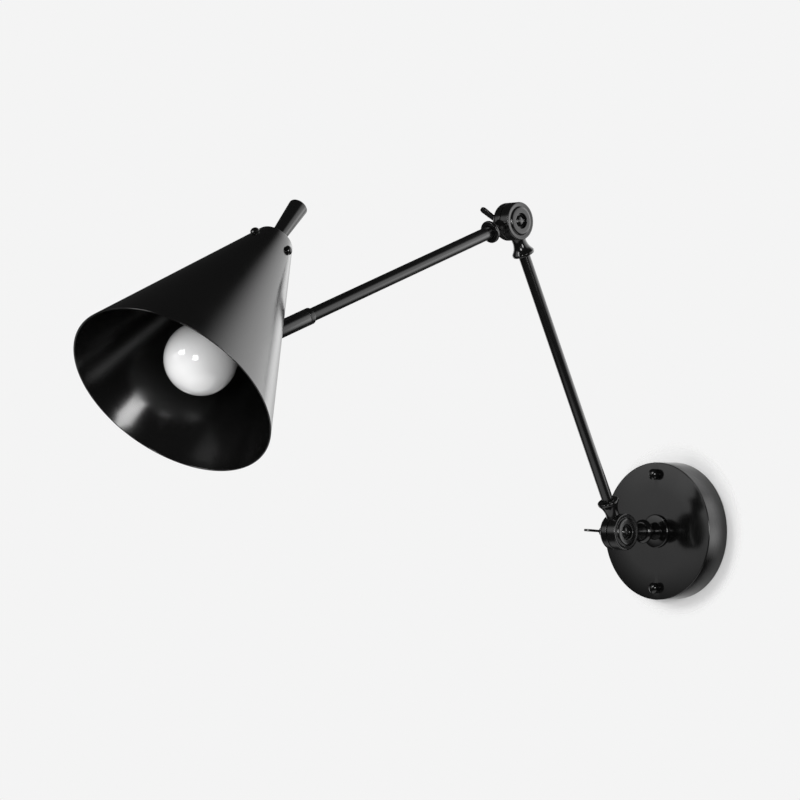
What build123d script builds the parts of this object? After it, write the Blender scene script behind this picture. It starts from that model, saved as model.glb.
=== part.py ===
from build123d import *
import math
import os

# Accordion wall lamp: round wall canopy, two tube arms on thumb-screw knuckles, cone shade.
# Millimetres.  The wall is the plane Y = 0, the lamp reaches out along -Y, +Z is up.
# The origin is the centre of the canopy's back rim.

# ---- clearances, each used wherever that kind of fit occurs ----
running_gap = 0.05        # radial, pin or shank in the hole it turns in or is screwed into
seat_gap = 0.3            # between two bodies that move past each other
hole_gap = 0.3            # radial, clearance hole round a screw or nipple

# ---- wall canopy ----
canopy_dia = 127.0
canopy_depth = 25.4
canopy_wall = 1.5
canopy_edge = 1.2
stud_spacing = 105.0
stud_radius = 2.1
stud_engagement = 5.0     # stud length inside the cap nut
cap_nut_dia = 10.0
cap_nut_length = 7.4
cap_nut_dome = 2.2
plate_dia = 116.0
plate_thickness = 2.0
box_slot_spacing = 79.5   # slot centres, so that the slots take 70 and 89 mm box screws
box_slot_length = 15.0
box_slot_width = 4.8
wire_hole_dia = 34.0
stud_nut_flats = 8.7
stud_nut_height = 3.2
ground_screw_place = (26.0, -28.0)
ground_screw_radius = 2.0
ground_screw_length = 7.0
ground_head_radius = 4.0
ground_head_height = 2.6

# ---- stem between canopy and wall knuckle ----
stem_reach = 53.0         # canopy face to the wall pivot
flange_dia = 31.0
flange_thickness = 2.5
stem_foot_dia = 16.5      # where the neck runs into the flange
stem_waist_dia = 12.8
stem_waist_place = 43.0   # wall pivot to the waist
stem_shoulder_dia = 14.5  # where the neck leaves the collar
stem_collar_dia = 22.0
stem_collar_face_dia = 15.8
stem_collar_width = 7.0
stem_collar_place = 34.0  # wall pivot to the collar's middle
stem_spigot_dia = 8.6
stem_spigot_length = 9.0
nipple_dia = 10.2
nipple_bore = 7.0
nipple_in_stem = 9.0
nipple_in_canopy = 9.0
lock_washer_dia = 20.0
lock_washer_thickness = 1.0
lock_nut_flats = 14.0
lock_nut_height = 3.2

# ---- knuckles ----
drum_dia = 33.5
half_width = 9.8          # middle of the knuckle to its outer face
drum_back_round = 4.0
drum_rim_round = 0.8
face_rim = 3.4            # flat ring round the front face
face_groove = 1.5
face_groove_depth = 1.4
dish_rise = 0.5           # the inner dish stands this much under the rim
recess_dia = 10.6
recess_depth = 3.6
neck_dia = 12.4
neck_narrow_place = 19.0  # pivot to the narrowest place of the neck
neck_root_dia = 14.8
neck_root_place = 10.0    # pivot to the neck's start, inside the drum
cove_dia = 14.6
cove_place = 25.2         # pivot to where the neck begins to flare into the bead
spigot_swell_dia = 13.4
spigot_swell_place = 24.8
spigot_face_dia = 15.6
spigot_bore_dia = 5.0
bead_dia = 20.0
bead_place = 30.6         # pivot to the middle of the bead's edge
bead_edge = 1.6
bead_face_place = 32.2    # pivot to the bead's flat outer face
bead_soft_corner = 0.8
tube_socket_depth = 7.0
friction_washer_dia = 24.0
friction_washer_thickness = 0.5
pivot_screw_dia = 6.0
pivot_head_dia = 8.8
pivot_head_height = 2.8
driver_slot_width = 1.3
driver_slot_depth = 1.2
screw_slot_angle = 0.0    # the pivot screws' slots lie level
nut_corner_share = 0.12   # of a nut's height, turned off its corners

# ---- wing nuts ----
wing_hub_base_dia = 12.0
wing_hub_dia = 9.2
wing_hub_length = 9.5
wing_hub_dome = 2.5
wing_hub_flare = 4.3      # height over which the foot runs into the hub
wing_hub_flare_dia = 10.2
wing_hub_flare_share = 0.6  # of the flare's height, where it has that diameter
wing_thickness = 2.0
wing_reach = 19.0         # pivot axis to the wing's tip
wing_root_back = 6.0      # nut base to the wing's middle at its root
wing_tip_back = 13.5      # nut base to the wing's middle at its tip
wing_root_width = 5.0
wing_tip_width = 7.0
wall_wing_angle = 5.0     # above the outward horizontal
elbow_wing_angle = 42.0

# ---- arms ----
lower_arm_length = 310.0  # wall pivot to elbow pivot
lower_arm_angle = 62.9    # above the outward horizontal
lower_tube_dia = 10.4
upper_arm_length = 320.0  # elbow pivot to head pivot
upper_arm_angle = -20.5
upper_tube_dia = 11.4
tube_wall = 1.2

# ---- swivel at the end of the upper arm ----
sleeve_dia = 14.3
collar_to_pivot = 58.5    # stop collar's near edge to the head pivot
collar_length = 6.3
collar_chamfer = 1.4
journal_length = 22.0     # tube inside the sleeve
sleeve_end_gap = 11.0     # end of the sleeve to the head pivot
chamber_wall = 0.7
ring_thickness = 1.4
ring_depth = 0.5
ring_rise = 0.5
ring_to_end = 1.0         # ring's groove to the end of the tube
plug_gap = 2.0            # end of the tube to the plug of the pivot eye
swivel_angle = 14.25

# ---- head pivot ----
eye_shoulder = 2.6
eye_wire_dia = 2.4
eye_wire_place = 4.1      # wire holes beside the tongue
tongue_thickness = 5.0
eye_dia = 13.0
ear_thickness = 2.2
bracket_base = 3.0
bracket_length = 18.0
rivet_dia = 3.0
rivet_head_dia = 4.6
rivet_head_height = 1.2
rivet_spread = 11.0
head_screw_dia = 4.0
head_screw_head_dia = 8.0
head_screw_head_height = 2.4
head_nut_flats = 7.0
head_nut_height = 3.2
head_screw_proud = 1.0
head_tilt = 26.95         # lamp axis to the upper arm
tilt_low = -8.0
tilt_high = 70.0
pivot_offset = 36.0       # lamp axis to the head pivot
pivot_drop = 67.5         # ball-screw plane to the head pivot

# ---- socket cup, socket and bulb; depths count down from the ball-screw plane ----
cup_dia = 36.0
cup_wall = 1.4
cup_rim_drop = 80.0
cup_web_drop = 28.0
cup_web_thickness = 2.0
cup_neck_top = 9.0
cup_collar_height = 23.0
cup_neck_wall = 3.2
cup_shade_gap = 1.0
cup_wire_hole_dia = 12.0
cup_entry_dia = 8.0
socket_rim_drop = 73.0
socket_rim_round = 0.8
socket_floor = 8.0
socket_wall = 2.6
socket_shell_gap = 0.2
socket_shell_wall = 0.5
socket_shell_end = 1.0
socket_screw_place = 9.2
socket_screw_dia = 4.0
socket_screw_head_dia = 7.6
socket_screw_head_height = 2.4
contact_width = 6.0
contact_thickness = 0.6
contact_foot = 8.1        # lamp axis to the end of the strip's foot
contact_bend = 4.05       # lamp axis to the strip's bend
bulb_dia = 60.0
bulb_length = 108.0
bulb_middle_drop = 125.3
bulb_wall = 1.0
bulb_shoulder_angle = 35.0
bulb_base_dia = 26.2
bulb_base_length = 27.0
bulb_cap_wall = 0.4
bulb_cap_taper = 3.0
bulb_neck_in_cap = 3.0
bulb_insulator_height = 2.6
bulb_insulator_radius = 8.1
bulb_tip_dia = 9.0
bulb_tip_height = 0.6

# ---- shade ----
shade_dia = 177.8
shade_height = 183.0
shade_wall = 1.2
shade_top_round = 3.0
shade_lean = 2.2          # shade axis to lamp axis
ball_plane_dia = 43.54    # shade's outside at the ball screws
ball_plane_under_top = 15.0
ball_screw_count = 4
ball_screw_start = 72.5
ball_dia = 6.0
ball_middle_height = 3.5  # shade's outside to the ball's middle
ball_stand_off = 1.0
ball_collar_dia = 5.0
ball_shank_dia = 3.2
ball_shank_length = 5.6
slot_side_gap = 0.8

# ---- handle ----
handle_base_dia = 12.4
handle_top_dia = 16.8
handle_length = 43.0
handle_edge = 1.4
handle_screw_dia = 4.0
handle_screw_depth = 12.0
handle_screw_head_dia = 7.6
handle_screw_head_height = 2.2


def turned(*outline):
    """Solid of revolution about local Z from an outline in (radius, height)."""
    return revolve(Plane.XZ * make_face(Curve() + list(outline)), Axis.Z)


stood_up = (Align.CENTER, Align.CENTER, Align.MIN)   # a solid stands on its own base


def disc(radius, bottom, top):
    """Cylinder on local Z between two heights."""
    return Pos(0, 0, bottom) * Cylinder(radius, top - bottom, align=stood_up)


def pin_along_x(radius, start, end):
    """Cylinder on the local X axis between two places."""
    return Pos(start, 0, 0) * Rot(0, 90, 0) * disc(radius, 0, end - start)


def hexagon(flats, bottom, top):
    """Hexagonal prism on local Z, sized across its flats."""
    outline = RegularPolygon(flats / 2, 6, major_radius=False)
    return Pos(0, 0, bottom) * extrude(outline, top - bottom)


def tube(outer_radius, inner_radius, bottom, top):
    """Hollow cylinder on local Z."""
    return disc(outer_radius, bottom, top) - disc(inner_radius, bottom, top)


def dome_arc(radius, shoulder, top):
    """Arc of a ball on the axis, from a shoulder in to the top."""
    rise = top - shoulder
    ball = (radius ** 2 + rise ** 2) / (2 * rise)
    half_turn = math.asin(radius / ball) / 2
    middle = (ball * math.sin(half_turn), top - ball * (1 - math.cos(half_turn)))
    return ThreePointArc((radius, shoulder), middle, (0, top))


arc_inset = 1 - math.cos(math.radians(45))   # middle of a quarter round, as a share of its radius


def arm_place(pivot, angle):
    """Local frame at a pivot: X along the pivot axis, Z along an arm at this angle."""
    along = (0, -math.cos(math.radians(angle)), math.sin(math.radians(angle)))
    return Plane(origin=pivot, x_dir=(1, 0, 0), z_dir=along).location


# ---- frames that the pieces are placed in ----
wall_place = Plane(origin=(0, 0, 0), x_dir=(1, 0, 0), z_dir=(0, -1, 0)).location
wall_pivot = Vector(0, -canopy_depth - stem_reach, 0)
stem_place = Plane(origin=wall_pivot, x_dir=(1, 0, 0), z_dir=(0, 1, 0)).location
lower_place = arm_place(wall_pivot, lower_arm_angle)
elbow_pivot = (lower_place * Pos(0, 0, lower_arm_length)).position
lower_end_place = arm_place(elbow_pivot, lower_arm_angle + 180)
upper_place = arm_place(elbow_pivot, upper_arm_angle)

# The lamp's frame stands on the ball-screw plane: Z up the lamp axis, Y towards the arm.
swivel_place = upper_place * Rot(0, 0, swivel_angle)
pivot_place = swivel_place * Pos(0, 0, upper_arm_length)
lamp_place = pivot_place * Rot(180 + head_tilt, 0, 0) * Pos(0, -pivot_offset, pivot_drop)
shade_place = lamp_place * Rot(-shade_lean, 0, 0)

os.makedirs("parts", exist_ok=True)


def keep(name, *solids):
    """Write one node's solids to its own file."""
    node = solids[0] if len(solids) == 1 else Compound(children=list(solids))
    export_step(node, f"parts/{name}.step")


# ---- canopy and what holds it to the wall; local Z points out of the wall ----
canopy_radius = canopy_dia / 2
plate_face = plate_thickness + stud_nut_height
stud_places = [Pos(0, side * stud_spacing / 2, 0) for side in (-1, 1)]
nipple_radius = nipple_dia / 2
canopy_inside = canopy_depth - canopy_wall


def canopy():
    """Spun dish with a hole for the stem's nipple and one for each stud."""
    shell = disc(canopy_radius, 0, canopy_depth)
    shell = fillet(shell.edges().group_by(Axis.Z)[-1], canopy_edge)
    shell -= disc(canopy_radius - canopy_wall, 0, canopy_inside)
    shell -= disc(nipple_radius + hole_gap, 0, canopy_depth)
    for place in stud_places:
        shell -= place * disc(stud_radius + hole_gap, 0, canopy_depth)
    return shell


def mounting_plate():
    """Round steel plate: wire hole, two slots for the wall box, threaded stud and ground holes."""
    plate = disc(plate_dia / 2, 0, plate_thickness)
    plate -= disc(wire_hole_dia / 2, 0, plate_thickness)
    slot = extrude(SlotOverall(box_slot_length, box_slot_width), plate_thickness)
    for side in (-1, 1):
        plate -= Pos(side * box_slot_spacing / 2, 0, 0) * slot
    for place in stud_places:
        plate -= place * disc(stud_radius + running_gap, 0, plate_thickness)
    plate -= Pos(*ground_screw_place, 0) * disc(ground_screw_radius + running_gap, 0, plate_thickness)
    return plate


def cap_nut():
    """Round cap nut with a domed end and a blind hole for the stud."""
    radius = cap_nut_dia / 2
    shoulder = cap_nut_length - cap_nut_dome
    outline = (
        Line((0, 0), (radius, 0)),
        Line((radius, 0), (radius, shoulder)),
        dome_arc(radius, shoulder, cap_nut_length),
        Line((0, cap_nut_length), (0, 0)),
    )
    return turned(*outline) - disc(stud_radius + running_gap, 0, stud_engagement + hole_gap)


def ground_screw():
    """Slotted pan-head screw for the earth wire."""
    head_top = plate_thickness + ground_head_height
    screw = disc(ground_screw_radius, head_top - ground_screw_length, head_top)
    head = disc(ground_head_radius, plate_thickness, head_top)
    head = fillet(head.edges().group_by(Axis.Z)[-1], ground_head_height / 3)
    slot = Pos(0, 0, head_top) * Box(2 * ground_head_radius, driver_slot_width, 2 * driver_slot_depth)
    low_end = disc(ground_screw_radius + 1, head_top - ground_screw_length, 0)
    return screw + head - slot - low_end


def pierced_nut(flats, bottom, top, hole_radius):
    """Hexagon nut with its two faces' corners turned off."""
    height = top - bottom
    corner = flats / math.sqrt(3)
    blank = Cone(corner + height, corner - height * nut_corner_share, height, align=stood_up)
    return (hexagon(flats, bottom, top) & (Pos(0, 0, bottom) * blank)) - disc(hole_radius, bottom, top)


studs = [wall_place * place * disc(stud_radius, 0, canopy_depth + stud_engagement) for place in stud_places]
stud_nuts = [wall_place * place * pierced_nut(stud_nut_flats, plate_thickness, plate_face,
                                              stud_radius + running_gap) for place in stud_places]
cap_nuts = [wall_place * place * Pos(0, 0, canopy_depth) * cap_nut() for place in stud_places]
keep("canopy", wall_place * canopy())
keep("mounting_plate", wall_place * mounting_plate())
keep("canopy_studs", *studs)
keep("stud_nuts", *stud_nuts)
keep("cap_nuts", *cap_nuts)
keep("ground_screw", wall_place * Pos(*ground_screw_place, 0) * ground_screw())

# ---- stem: a turned reel; local Z runs from the wall pivot back to the canopy ----
collar_front = stem_collar_place - stem_collar_width / 2
collar_back = stem_collar_place + stem_collar_width / 2
flange_front = stem_reach - flange_thickness


def stem():
    """Flange, hollowed neck and rounded collar, drilled at both ends."""
    collar = stem_collar_dia / 2
    face = stem_collar_face_dia / 2
    shoulder = stem_shoulder_dia / 2
    foot = stem_foot_dia / 2
    flange = flange_dia / 2
    flange_round = flange_thickness / 2
    inset = flange_round * arc_inset
    outline = (
        Line((0, collar_front), (face, collar_front)),
        ThreePointArc((face, collar_front), (collar, stem_collar_place), (face, collar_back)),
        Line((face, collar_back), (shoulder, collar_back)),
        ThreePointArc((shoulder, collar_back), (stem_waist_dia / 2, stem_waist_place), (foot, flange_front)),
        Line((foot, flange_front), (flange - flange_round, flange_front)),
        ThreePointArc((flange - flange_round, flange_front), (flange - inset, flange_front + inset),
                      (flange, flange_front + flange_round)),
        Line((flange, flange_front + flange_round), (flange, stem_reach)),
        Line((flange, stem_reach), (0, stem_reach)),
        Line((0, stem_reach), (0, collar_front)),
    )
    body = turned(*outline)
    spigot_hole_end = collar_front + stem_spigot_length + hole_gap
    body -= disc(stem_spigot_dia / 2 + running_gap, collar_front, spigot_hole_end)
    body -= disc(nipple_radius + running_gap, stem_reach - nipple_in_stem - hole_gap, stem_reach)
    return body - disc(nipple_bore / 2, collar_front, stem_reach)


inside_face = stem_reach + canopy_wall
washer_back = inside_face + lock_washer_thickness
keep("stem", stem_place * stem())
keep("stem_nipple", stem_place * tube(nipple_radius, nipple_bore / 2,
                                      stem_reach - nipple_in_stem, inside_face + nipple_in_canopy))
keep("stem_lock_washer", stem_place * tube(lock_washer_dia / 2, nipple_radius + hole_gap,
                                           inside_face, washer_back))
keep("stem_lock_nut", stem_place * pierced_nut(lock_nut_flats, washer_back, washer_back + lock_nut_height,
                                               nipple_radius + running_gap))

# ---- knuckle halves; local X is the pivot axis, local Z runs along the arm ----
drum_radius = drum_dia / 2
pivot_radius = pivot_screw_dia / 2
half_seam = seat_gap / 2 + friction_washer_thickness / 2
bead_radius = bead_dia / 2
tube_start = bead_face_place - tube_socket_depth


def neck_and_bead():
    """Turned neck that swells into the bead the tube is fixed in."""
    cove_end = bead_place - bead_edge / 2
    corner = bead_soft_corner
    inset = corner * arc_inset
    outline = (
        Line((0, neck_root_place), (neck_root_dia / 2, neck_root_place)),
        Spline([(neck_root_dia / 2, neck_root_place), (neck_dia / 2, neck_narrow_place),
                (cove_dia / 2, cove_place), (bead_radius, cove_end)]),
        Line((bead_radius, cove_end), (bead_radius, bead_face_place - corner)),
        ThreePointArc((bead_radius, bead_face_place - corner), (bead_radius - inset, bead_face_place - inset),
                      (bead_radius - corner, bead_face_place)),
        Line((bead_radius - corner, bead_face_place), (0, bead_face_place)),
        Line((0, bead_face_place), (0, neck_root_place)),
    )
    return turned(*outline)


def spigot_neck():
    """Turned neck of the wall knuckle, ending in the spigot that screws into the stem."""
    spigot = stem_spigot_dia / 2
    spigot_end = collar_front + stem_spigot_length
    outline = (
        Line((0, neck_root_place), (neck_root_dia / 2, neck_root_place)),
        Spline([(neck_root_dia / 2, neck_root_place), (neck_dia / 2, neck_narrow_place),
                (spigot_swell_dia / 2, spigot_swell_place), (spigot_face_dia / 2, collar_front)]),
        Line((spigot_face_dia / 2, collar_front), (spigot, collar_front)),
        Line((spigot, collar_front), (spigot, spigot_end)),
        Line((spigot, spigot_end), (0, spigot_end)),
        Line((0, spigot_end), (0, neck_root_place)),
    )
    return turned(*outline)


def tube_socket(tube_dia):
    """Hole in the bead that a tube seats in, with a wire way behind it."""
    hole = disc(tube_dia / 2 + running_gap, tube_start, bead_face_place)
    return hole + disc(tube_dia / 2 - tube_wall, drum_radius, tube_start)


def drum_half(side):
    """Half of the knuckle's drum, from the seam to the outer face on this side."""
    half = pin_along_x(drum_radius, half_seam, half_width)
    rounding = drum_rim_round if side > 0 else drum_back_round
    half = fillet(half.edges().group_by(Axis.X)[-1], rounding)
    return half if side > 0 else mirror(half, Plane.YZ)


def ring_face():
    """What is turned out of the front face: groove, lowered dish and screw recess."""
    ring_inner = drum_radius - drum_rim_round - face_rim
    groove_inner = ring_inner - face_groove
    cut = pin_along_x(ring_inner, half_width - dish_rise, half_width)
    cut += pin_along_x(ring_inner, half_width - face_groove_depth, half_width)
    cut -= pin_along_x(groove_inner, half_width - face_groove_depth, half_width - dish_rise)
    return cut + pin_along_x(recess_dia / 2, half_width - recess_depth, half_width)


def knuckle_half(side, neck):
    """One casting: half drum, neck centred on the seam, room for the other half's drum."""
    other_room = pin_along_x(drum_radius + seat_gap, -half_width - bead_radius, half_seam)
    if side < 0:
        other_room = mirror(other_room, Plane.YZ)
    casting = (neck - other_room) + drum_half(side)
    if side > 0:
        casting -= ring_face()
    return casting - pin_along_x(pivot_radius + running_gap, -half_width, half_width)


def friction_washer():
    """Thin washer on the front half's seam face."""
    washer = pin_along_x(friction_washer_dia / 2, half_seam - friction_washer_thickness, half_seam)
    return washer - pin_along_x(pivot_radius + running_gap, -half_width, half_width)


def pivot_screw():
    """Screw from the front recess through both halves into the wing nut."""
    floor = half_width - recess_depth
    head_top = floor + pivot_head_height
    head = pin_along_x(pivot_head_dia / 2, floor, head_top)
    head = fillet(head.edges().group_by(Axis.X)[-1], pivot_head_height / 4)
    head -= Pos(head_top, 0, 0) * Box(2 * driver_slot_depth, driver_slot_width, pivot_head_dia)
    end = -half_width - seat_gap - wing_hub_length + 2 * hole_gap
    return head + pin_along_x(pivot_radius, end, floor)


def wing_nut():
    """Domed hub with two wings that lean away from the knuckle; its base is at local X = 0."""
    base = wing_hub_base_dia / 2
    hub = wing_hub_dia / 2
    dome_end = wing_hub_length + wing_hub_dome
    outline = (
        Line((0, 0), (base, 0)),
        Spline([(base, 0), (wing_hub_flare_dia / 2, wing_hub_flare * wing_hub_flare_share),
                (hub, wing_hub_flare)]),
        Line((hub, wing_hub_flare), (hub, wing_hub_length)),
        dome_arc(hub, wing_hub_length, dome_end),
        Line((0, dome_end), (0, 0)),
    )
    nut = Rot(0, -90, 0) * turned(*outline)
    lean = math.degrees(math.atan2(wing_tip_back - wing_root_back, wing_reach - wing_tip_width / 2))
    blade_length = (wing_reach - wing_tip_width / 2) / math.cos(math.radians(lean))
    root = Circle(wing_root_width / 2)
    tip = Pos(blade_length, 0) * Circle(wing_tip_width / 2)
    blade = Plane.XZ * extrude(make_hull(root.edges() + tip.edges()), wing_thickness / 2, both=True)
    for turn in (0, 180):
        nut += Rot(turn, 0, 0) * Pos(-wing_root_back, 0, 0) * Rot(0, -90 - lean, 0) * blade
    return nut - pin_along_x(pivot_radius + running_gap, -wing_hub_length + hole_gap, 0)


def knuckle(prefix, pivot, front_place, front_neck, back_place, back_neck, wing_angle):
    """Write one knuckle: two castings, washer, screw and wing nut."""
    keep(f"{prefix}_knuckle_front", front_place * knuckle_half(1, front_neck))
    keep(f"{prefix}_knuckle_back", back_place * knuckle_half(-1, back_neck))
    keep(f"{prefix}_friction_washer", front_place * friction_washer())
    keep(f"{prefix}_pivot_screw", arm_place(pivot, screw_slot_angle) * pivot_screw())
    wing_place = arm_place(pivot, wing_angle) * Pos(-half_width - seat_gap, 0, 0)
    keep(f"{prefix}_wing_nut", wing_place * wing_nut())


lower_socket = tube_socket(lower_tube_dia)
upper_socket = tube_socket(upper_tube_dia)
stem_wire_way = disc(spigot_bore_dia / 2, drum_radius, collar_back + stem_spigot_length)
knuckle("wall", wall_pivot, stem_place, spigot_neck() - stem_wire_way,
        lower_place, neck_and_bead() - lower_socket, wall_wing_angle)
knuckle("elbow", elbow_pivot, lower_end_place, neck_and_bead() - lower_socket,
        upper_place, neck_and_bead() - upper_socket, elbow_wing_angle)

# ---- arm tubes ----
lower_radius = lower_tube_dia / 2
upper_radius = upper_tube_dia / 2
keep("lower_tube", lower_place * tube(lower_radius, lower_radius - tube_wall,
                                      tube_start, lower_arm_length - tube_start))

# ---- swivel; local Z runs along the upper arm from the elbow ----
sleeve_radius = sleeve_dia / 2
collar_start = upper_arm_length - collar_to_pivot
collar_end = collar_start + collar_length
sleeve_start = collar_end + seat_gap
journal_end = sleeve_start + journal_length
ring_start = journal_end - ring_thickness - ring_to_end
chamber_start = ring_start - seat_gap
sleeve_end = upper_arm_length - sleeve_end_gap
chamber_radius = sleeve_radius - chamber_wall


def upper_tube():
    """Tube with a groove near its end for the retaining ring."""
    groove = tube(upper_radius + 1, upper_radius - ring_depth, ring_start, ring_start + ring_thickness)
    return tube(upper_radius, upper_radius - tube_wall, tube_start, journal_end) - groove


def stop_collar():
    """Fixed collar that the sleeve turns against, chamfered towards the arm."""
    collar = disc(sleeve_radius, collar_start, collar_end)
    collar = chamfer(collar.edges().group_by(Axis.Z)[0], collar_chamfer)
    return collar - disc(upper_radius + running_gap, collar_start, collar_end)


def swivel_sleeve():
    """Sleeve that turns on the tube's end, wider inside past the retaining ring."""
    sleeve = disc(sleeve_radius, sleeve_start, sleeve_end)
    sleeve -= disc(upper_radius + running_gap, sleeve_start, chamber_start)
    return sleeve - disc(chamber_radius, chamber_start, sleeve_end)


def pivot_eye():
    """Plug in the sleeve's end, with two wire holes and the flat tongue and eye of the head pivot."""
    plug_start = journal_end + plug_gap
    shoulder_end = sleeve_end + eye_shoulder
    eye = disc(chamber_radius - running_gap, plug_start, sleeve_end)
    eye += disc(sleeve_radius, sleeve_end, shoulder_end)
    for side in (-1, 1):
        eye -= Pos(side * eye_wire_place, 0, 0) * disc(eye_wire_dia / 2, plug_start, shoulder_end)
    tongue_root = upper_arm_length - shoulder_end
    half_tongue = tongue_thickness / 2
    tongue = Pos(0, 0, upper_arm_length - tongue_root / 2) * Box(tongue_thickness, eye_dia, tongue_root)
    ball = Pos(0, 0, upper_arm_length) * pin_along_x(eye_dia / 2, -half_tongue, half_tongue)
    hole = pin_along_x(head_screw_dia / 2 + running_gap, -half_tongue, half_tongue)
    return eye + tongue + ball - Pos(0, 0, upper_arm_length) * hole


keep("upper_tube", upper_place * upper_tube())
keep("stop_collar", upper_place * stop_collar())
keep("retaining_ring", upper_place * tube(upper_radius + ring_rise, upper_radius - ring_depth + running_gap,
                                          ring_start, ring_start + ring_thickness))
keep("swivel_sleeve", swivel_place * swivel_sleeve())
keep("head_pivot_eye", swivel_place * pivot_eye())

# ---- shade, handle and ball screws; local Z = 0 on the ball-screw plane ----
shade_radius = shade_dia / 2
top_level = ball_plane_under_top
opening_level = top_level - shade_height
shade_slope = (shade_radius - ball_plane_dia / 2) / -opening_level
shade_half_angle = math.degrees(math.atan(shade_slope))
shade_cosine = math.cos(math.radians(shade_half_angle))
wall_across = shade_wall / shade_cosine


def outer_radius(level):
    """Shade's outer radius at a level above the ball-screw plane."""
    return shade_radius - (level - opening_level) * shade_slope


def ball_places():
    """Frames on the shade's outer wall at the ball screws, local Z pointing straight out of the wall."""
    step = 360 / ball_screw_count
    for index in range(ball_screw_count):
        facing = Rot(0, 0, -ball_screw_start - index * step) * Rot(-90, 0, 0)
        yield facing * Pos(0, 0, outer_radius(0)) * Rot(shade_half_angle, 0, 0)


def arm_slot():
    """Tool for the round-ended slot that the sleeve passes through over the whole tilt."""
    pivot = (Rot(shade_lean, 0, 0) * Pos(0, pivot_offset, -pivot_drop)).position
    to_wall = (outer_radius(pivot.Z) - pivot.Y) * shade_cosine
    half_slot = sleeve_radius + slot_side_gap
    wall_to_lamp = shade_half_angle - shade_lean
    steep = math.radians(head_tilt + tilt_low + wall_to_lamp)
    shallow = math.radians(head_tilt + tilt_high + wall_to_lamp)
    upper_end = to_wall / math.tan(steep) + half_slot / math.sin(steep)
    lower_end = to_wall / math.tan(shallow) - half_slot / math.sin(shallow)
    slot = SlotOverall(upper_end - lower_end, 2 * half_slot)
    up_the_wall = (0, -math.sin(math.radians(shade_half_angle)), shade_cosine)
    wall_frame = Plane(origin=pivot, x_dir=up_the_wall, z_dir=(0, shade_cosine, -up_the_wall[1])).location
    return wall_frame * Pos((upper_end + lower_end) / 2, 0, 0) * extrude(slot, to_wall + shade_wall)


def shade():
    """Spun cone with a rounded closed top and a rounded rim, pierced for arm, ball screws and handle."""
    rim = outer_radius(opening_level)
    top = outer_radius(top_level)
    under_top = top_level - shade_wall
    mid_rim = rim - wall_across / 2
    outline = (
        Line((0, top_level), (top, top_level)),
        Line((top, top_level), (rim, opening_level)),
        ThreePointArc((rim, opening_level), (mid_rim, opening_level - wall_across / 3),
                      (rim - wall_across, opening_level)),
        Line((rim - wall_across, opening_level), (outer_radius(under_top) - wall_across, under_top)),
        Line((outer_radius(under_top) - wall_across, under_top), (0, under_top)),
        Line((0, under_top), (0, top_level)),
    )
    shell = turned(*outline)
    top_edges = shell.edges().group_by(Axis.Z)
    shell = fillet(top_edges[-1], shade_top_round)
    inner_edge = [edge for edge in shell.edges().filter_by(GeomType.CIRCLE)
                  if abs(edge.center().Z - under_top) < shade_wall / 10]
    shell = fillet(inner_edge, shade_top_round - shade_wall)
    for place in ball_places():
        shell -= place * disc(ball_shank_dia / 2 + hole_gap, -ball_shank_length, ball_stand_off)
    shell -= disc(handle_screw_dia / 2 + hole_gap, under_top, top_level)
    return shell - arm_slot()


def ball_screw():
    """Ball knob on a collar, with a shank that goes through the shade into the socket cup."""
    ball = Pos(0, 0, ball_middle_height) * Sphere(ball_dia / 2)
    collar = disc(ball_collar_dia / 2, 0, ball_stand_off)
    return ball + collar + disc(ball_shank_dia / 2, -ball_shank_length, ball_stand_off)


def handle():
    """Turned handle that widens upwards, with an eased edge and a blind hole for its screw."""
    base = handle_base_dia / 2
    top = handle_top_dia / 2
    knob = Pos(0, 0, top_level) * Cone(base, top, handle_length, align=stood_up)
    knob = fillet(knob.edges().group_by(Axis.Z)[-1], handle_edge)
    hole_end = top_level + handle_screw_depth + hole_gap
    return knob - disc(handle_screw_dia / 2 + running_gap, top_level, hole_end)


def handle_screw():
    """Slotted screw from inside the shade's top up into the handle."""
    head_top = top_level - shade_wall
    head_bottom = head_top - handle_screw_head_height
    screw = disc(handle_screw_head_dia / 2, head_bottom, head_top)
    screw = fillet(screw.edges().group_by(Axis.Z)[0], handle_screw_head_height / 3)
    screw -= Pos(0, 0, head_bottom) * Box(handle_screw_head_dia, driver_slot_width, 2 * driver_slot_depth)
    return screw + disc(handle_screw_dia / 2, head_top, top_level + handle_screw_depth)


keep("shade", shade_place * shade())
keep("ball_screws", *[shade_place * place * ball_screw() for place in ball_places()])
keep("handle", shade_place * handle())
keep("handle_screw", shade_place * handle_screw())

# ---- socket cup; local Z = 0 on the ball-screw plane, depths count down the lamp axis ----
cup_radius = cup_dia / 2
cup_inner_radius = cup_radius - cup_wall
web_bottom = -cup_web_drop - cup_web_thickness
collar_to_shade = wall_across + cup_shade_gap
rivet_places = [Pos(0, 0, -pivot_drop + side * rivet_spread / 2) * Rot(-90, 0, 0) for side in (-1, 1)]


def cup_collar_radius(level):
    """Radius of the cup's collar, which follows the inside of the shade."""
    return outer_radius(level) - collar_to_shade


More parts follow.
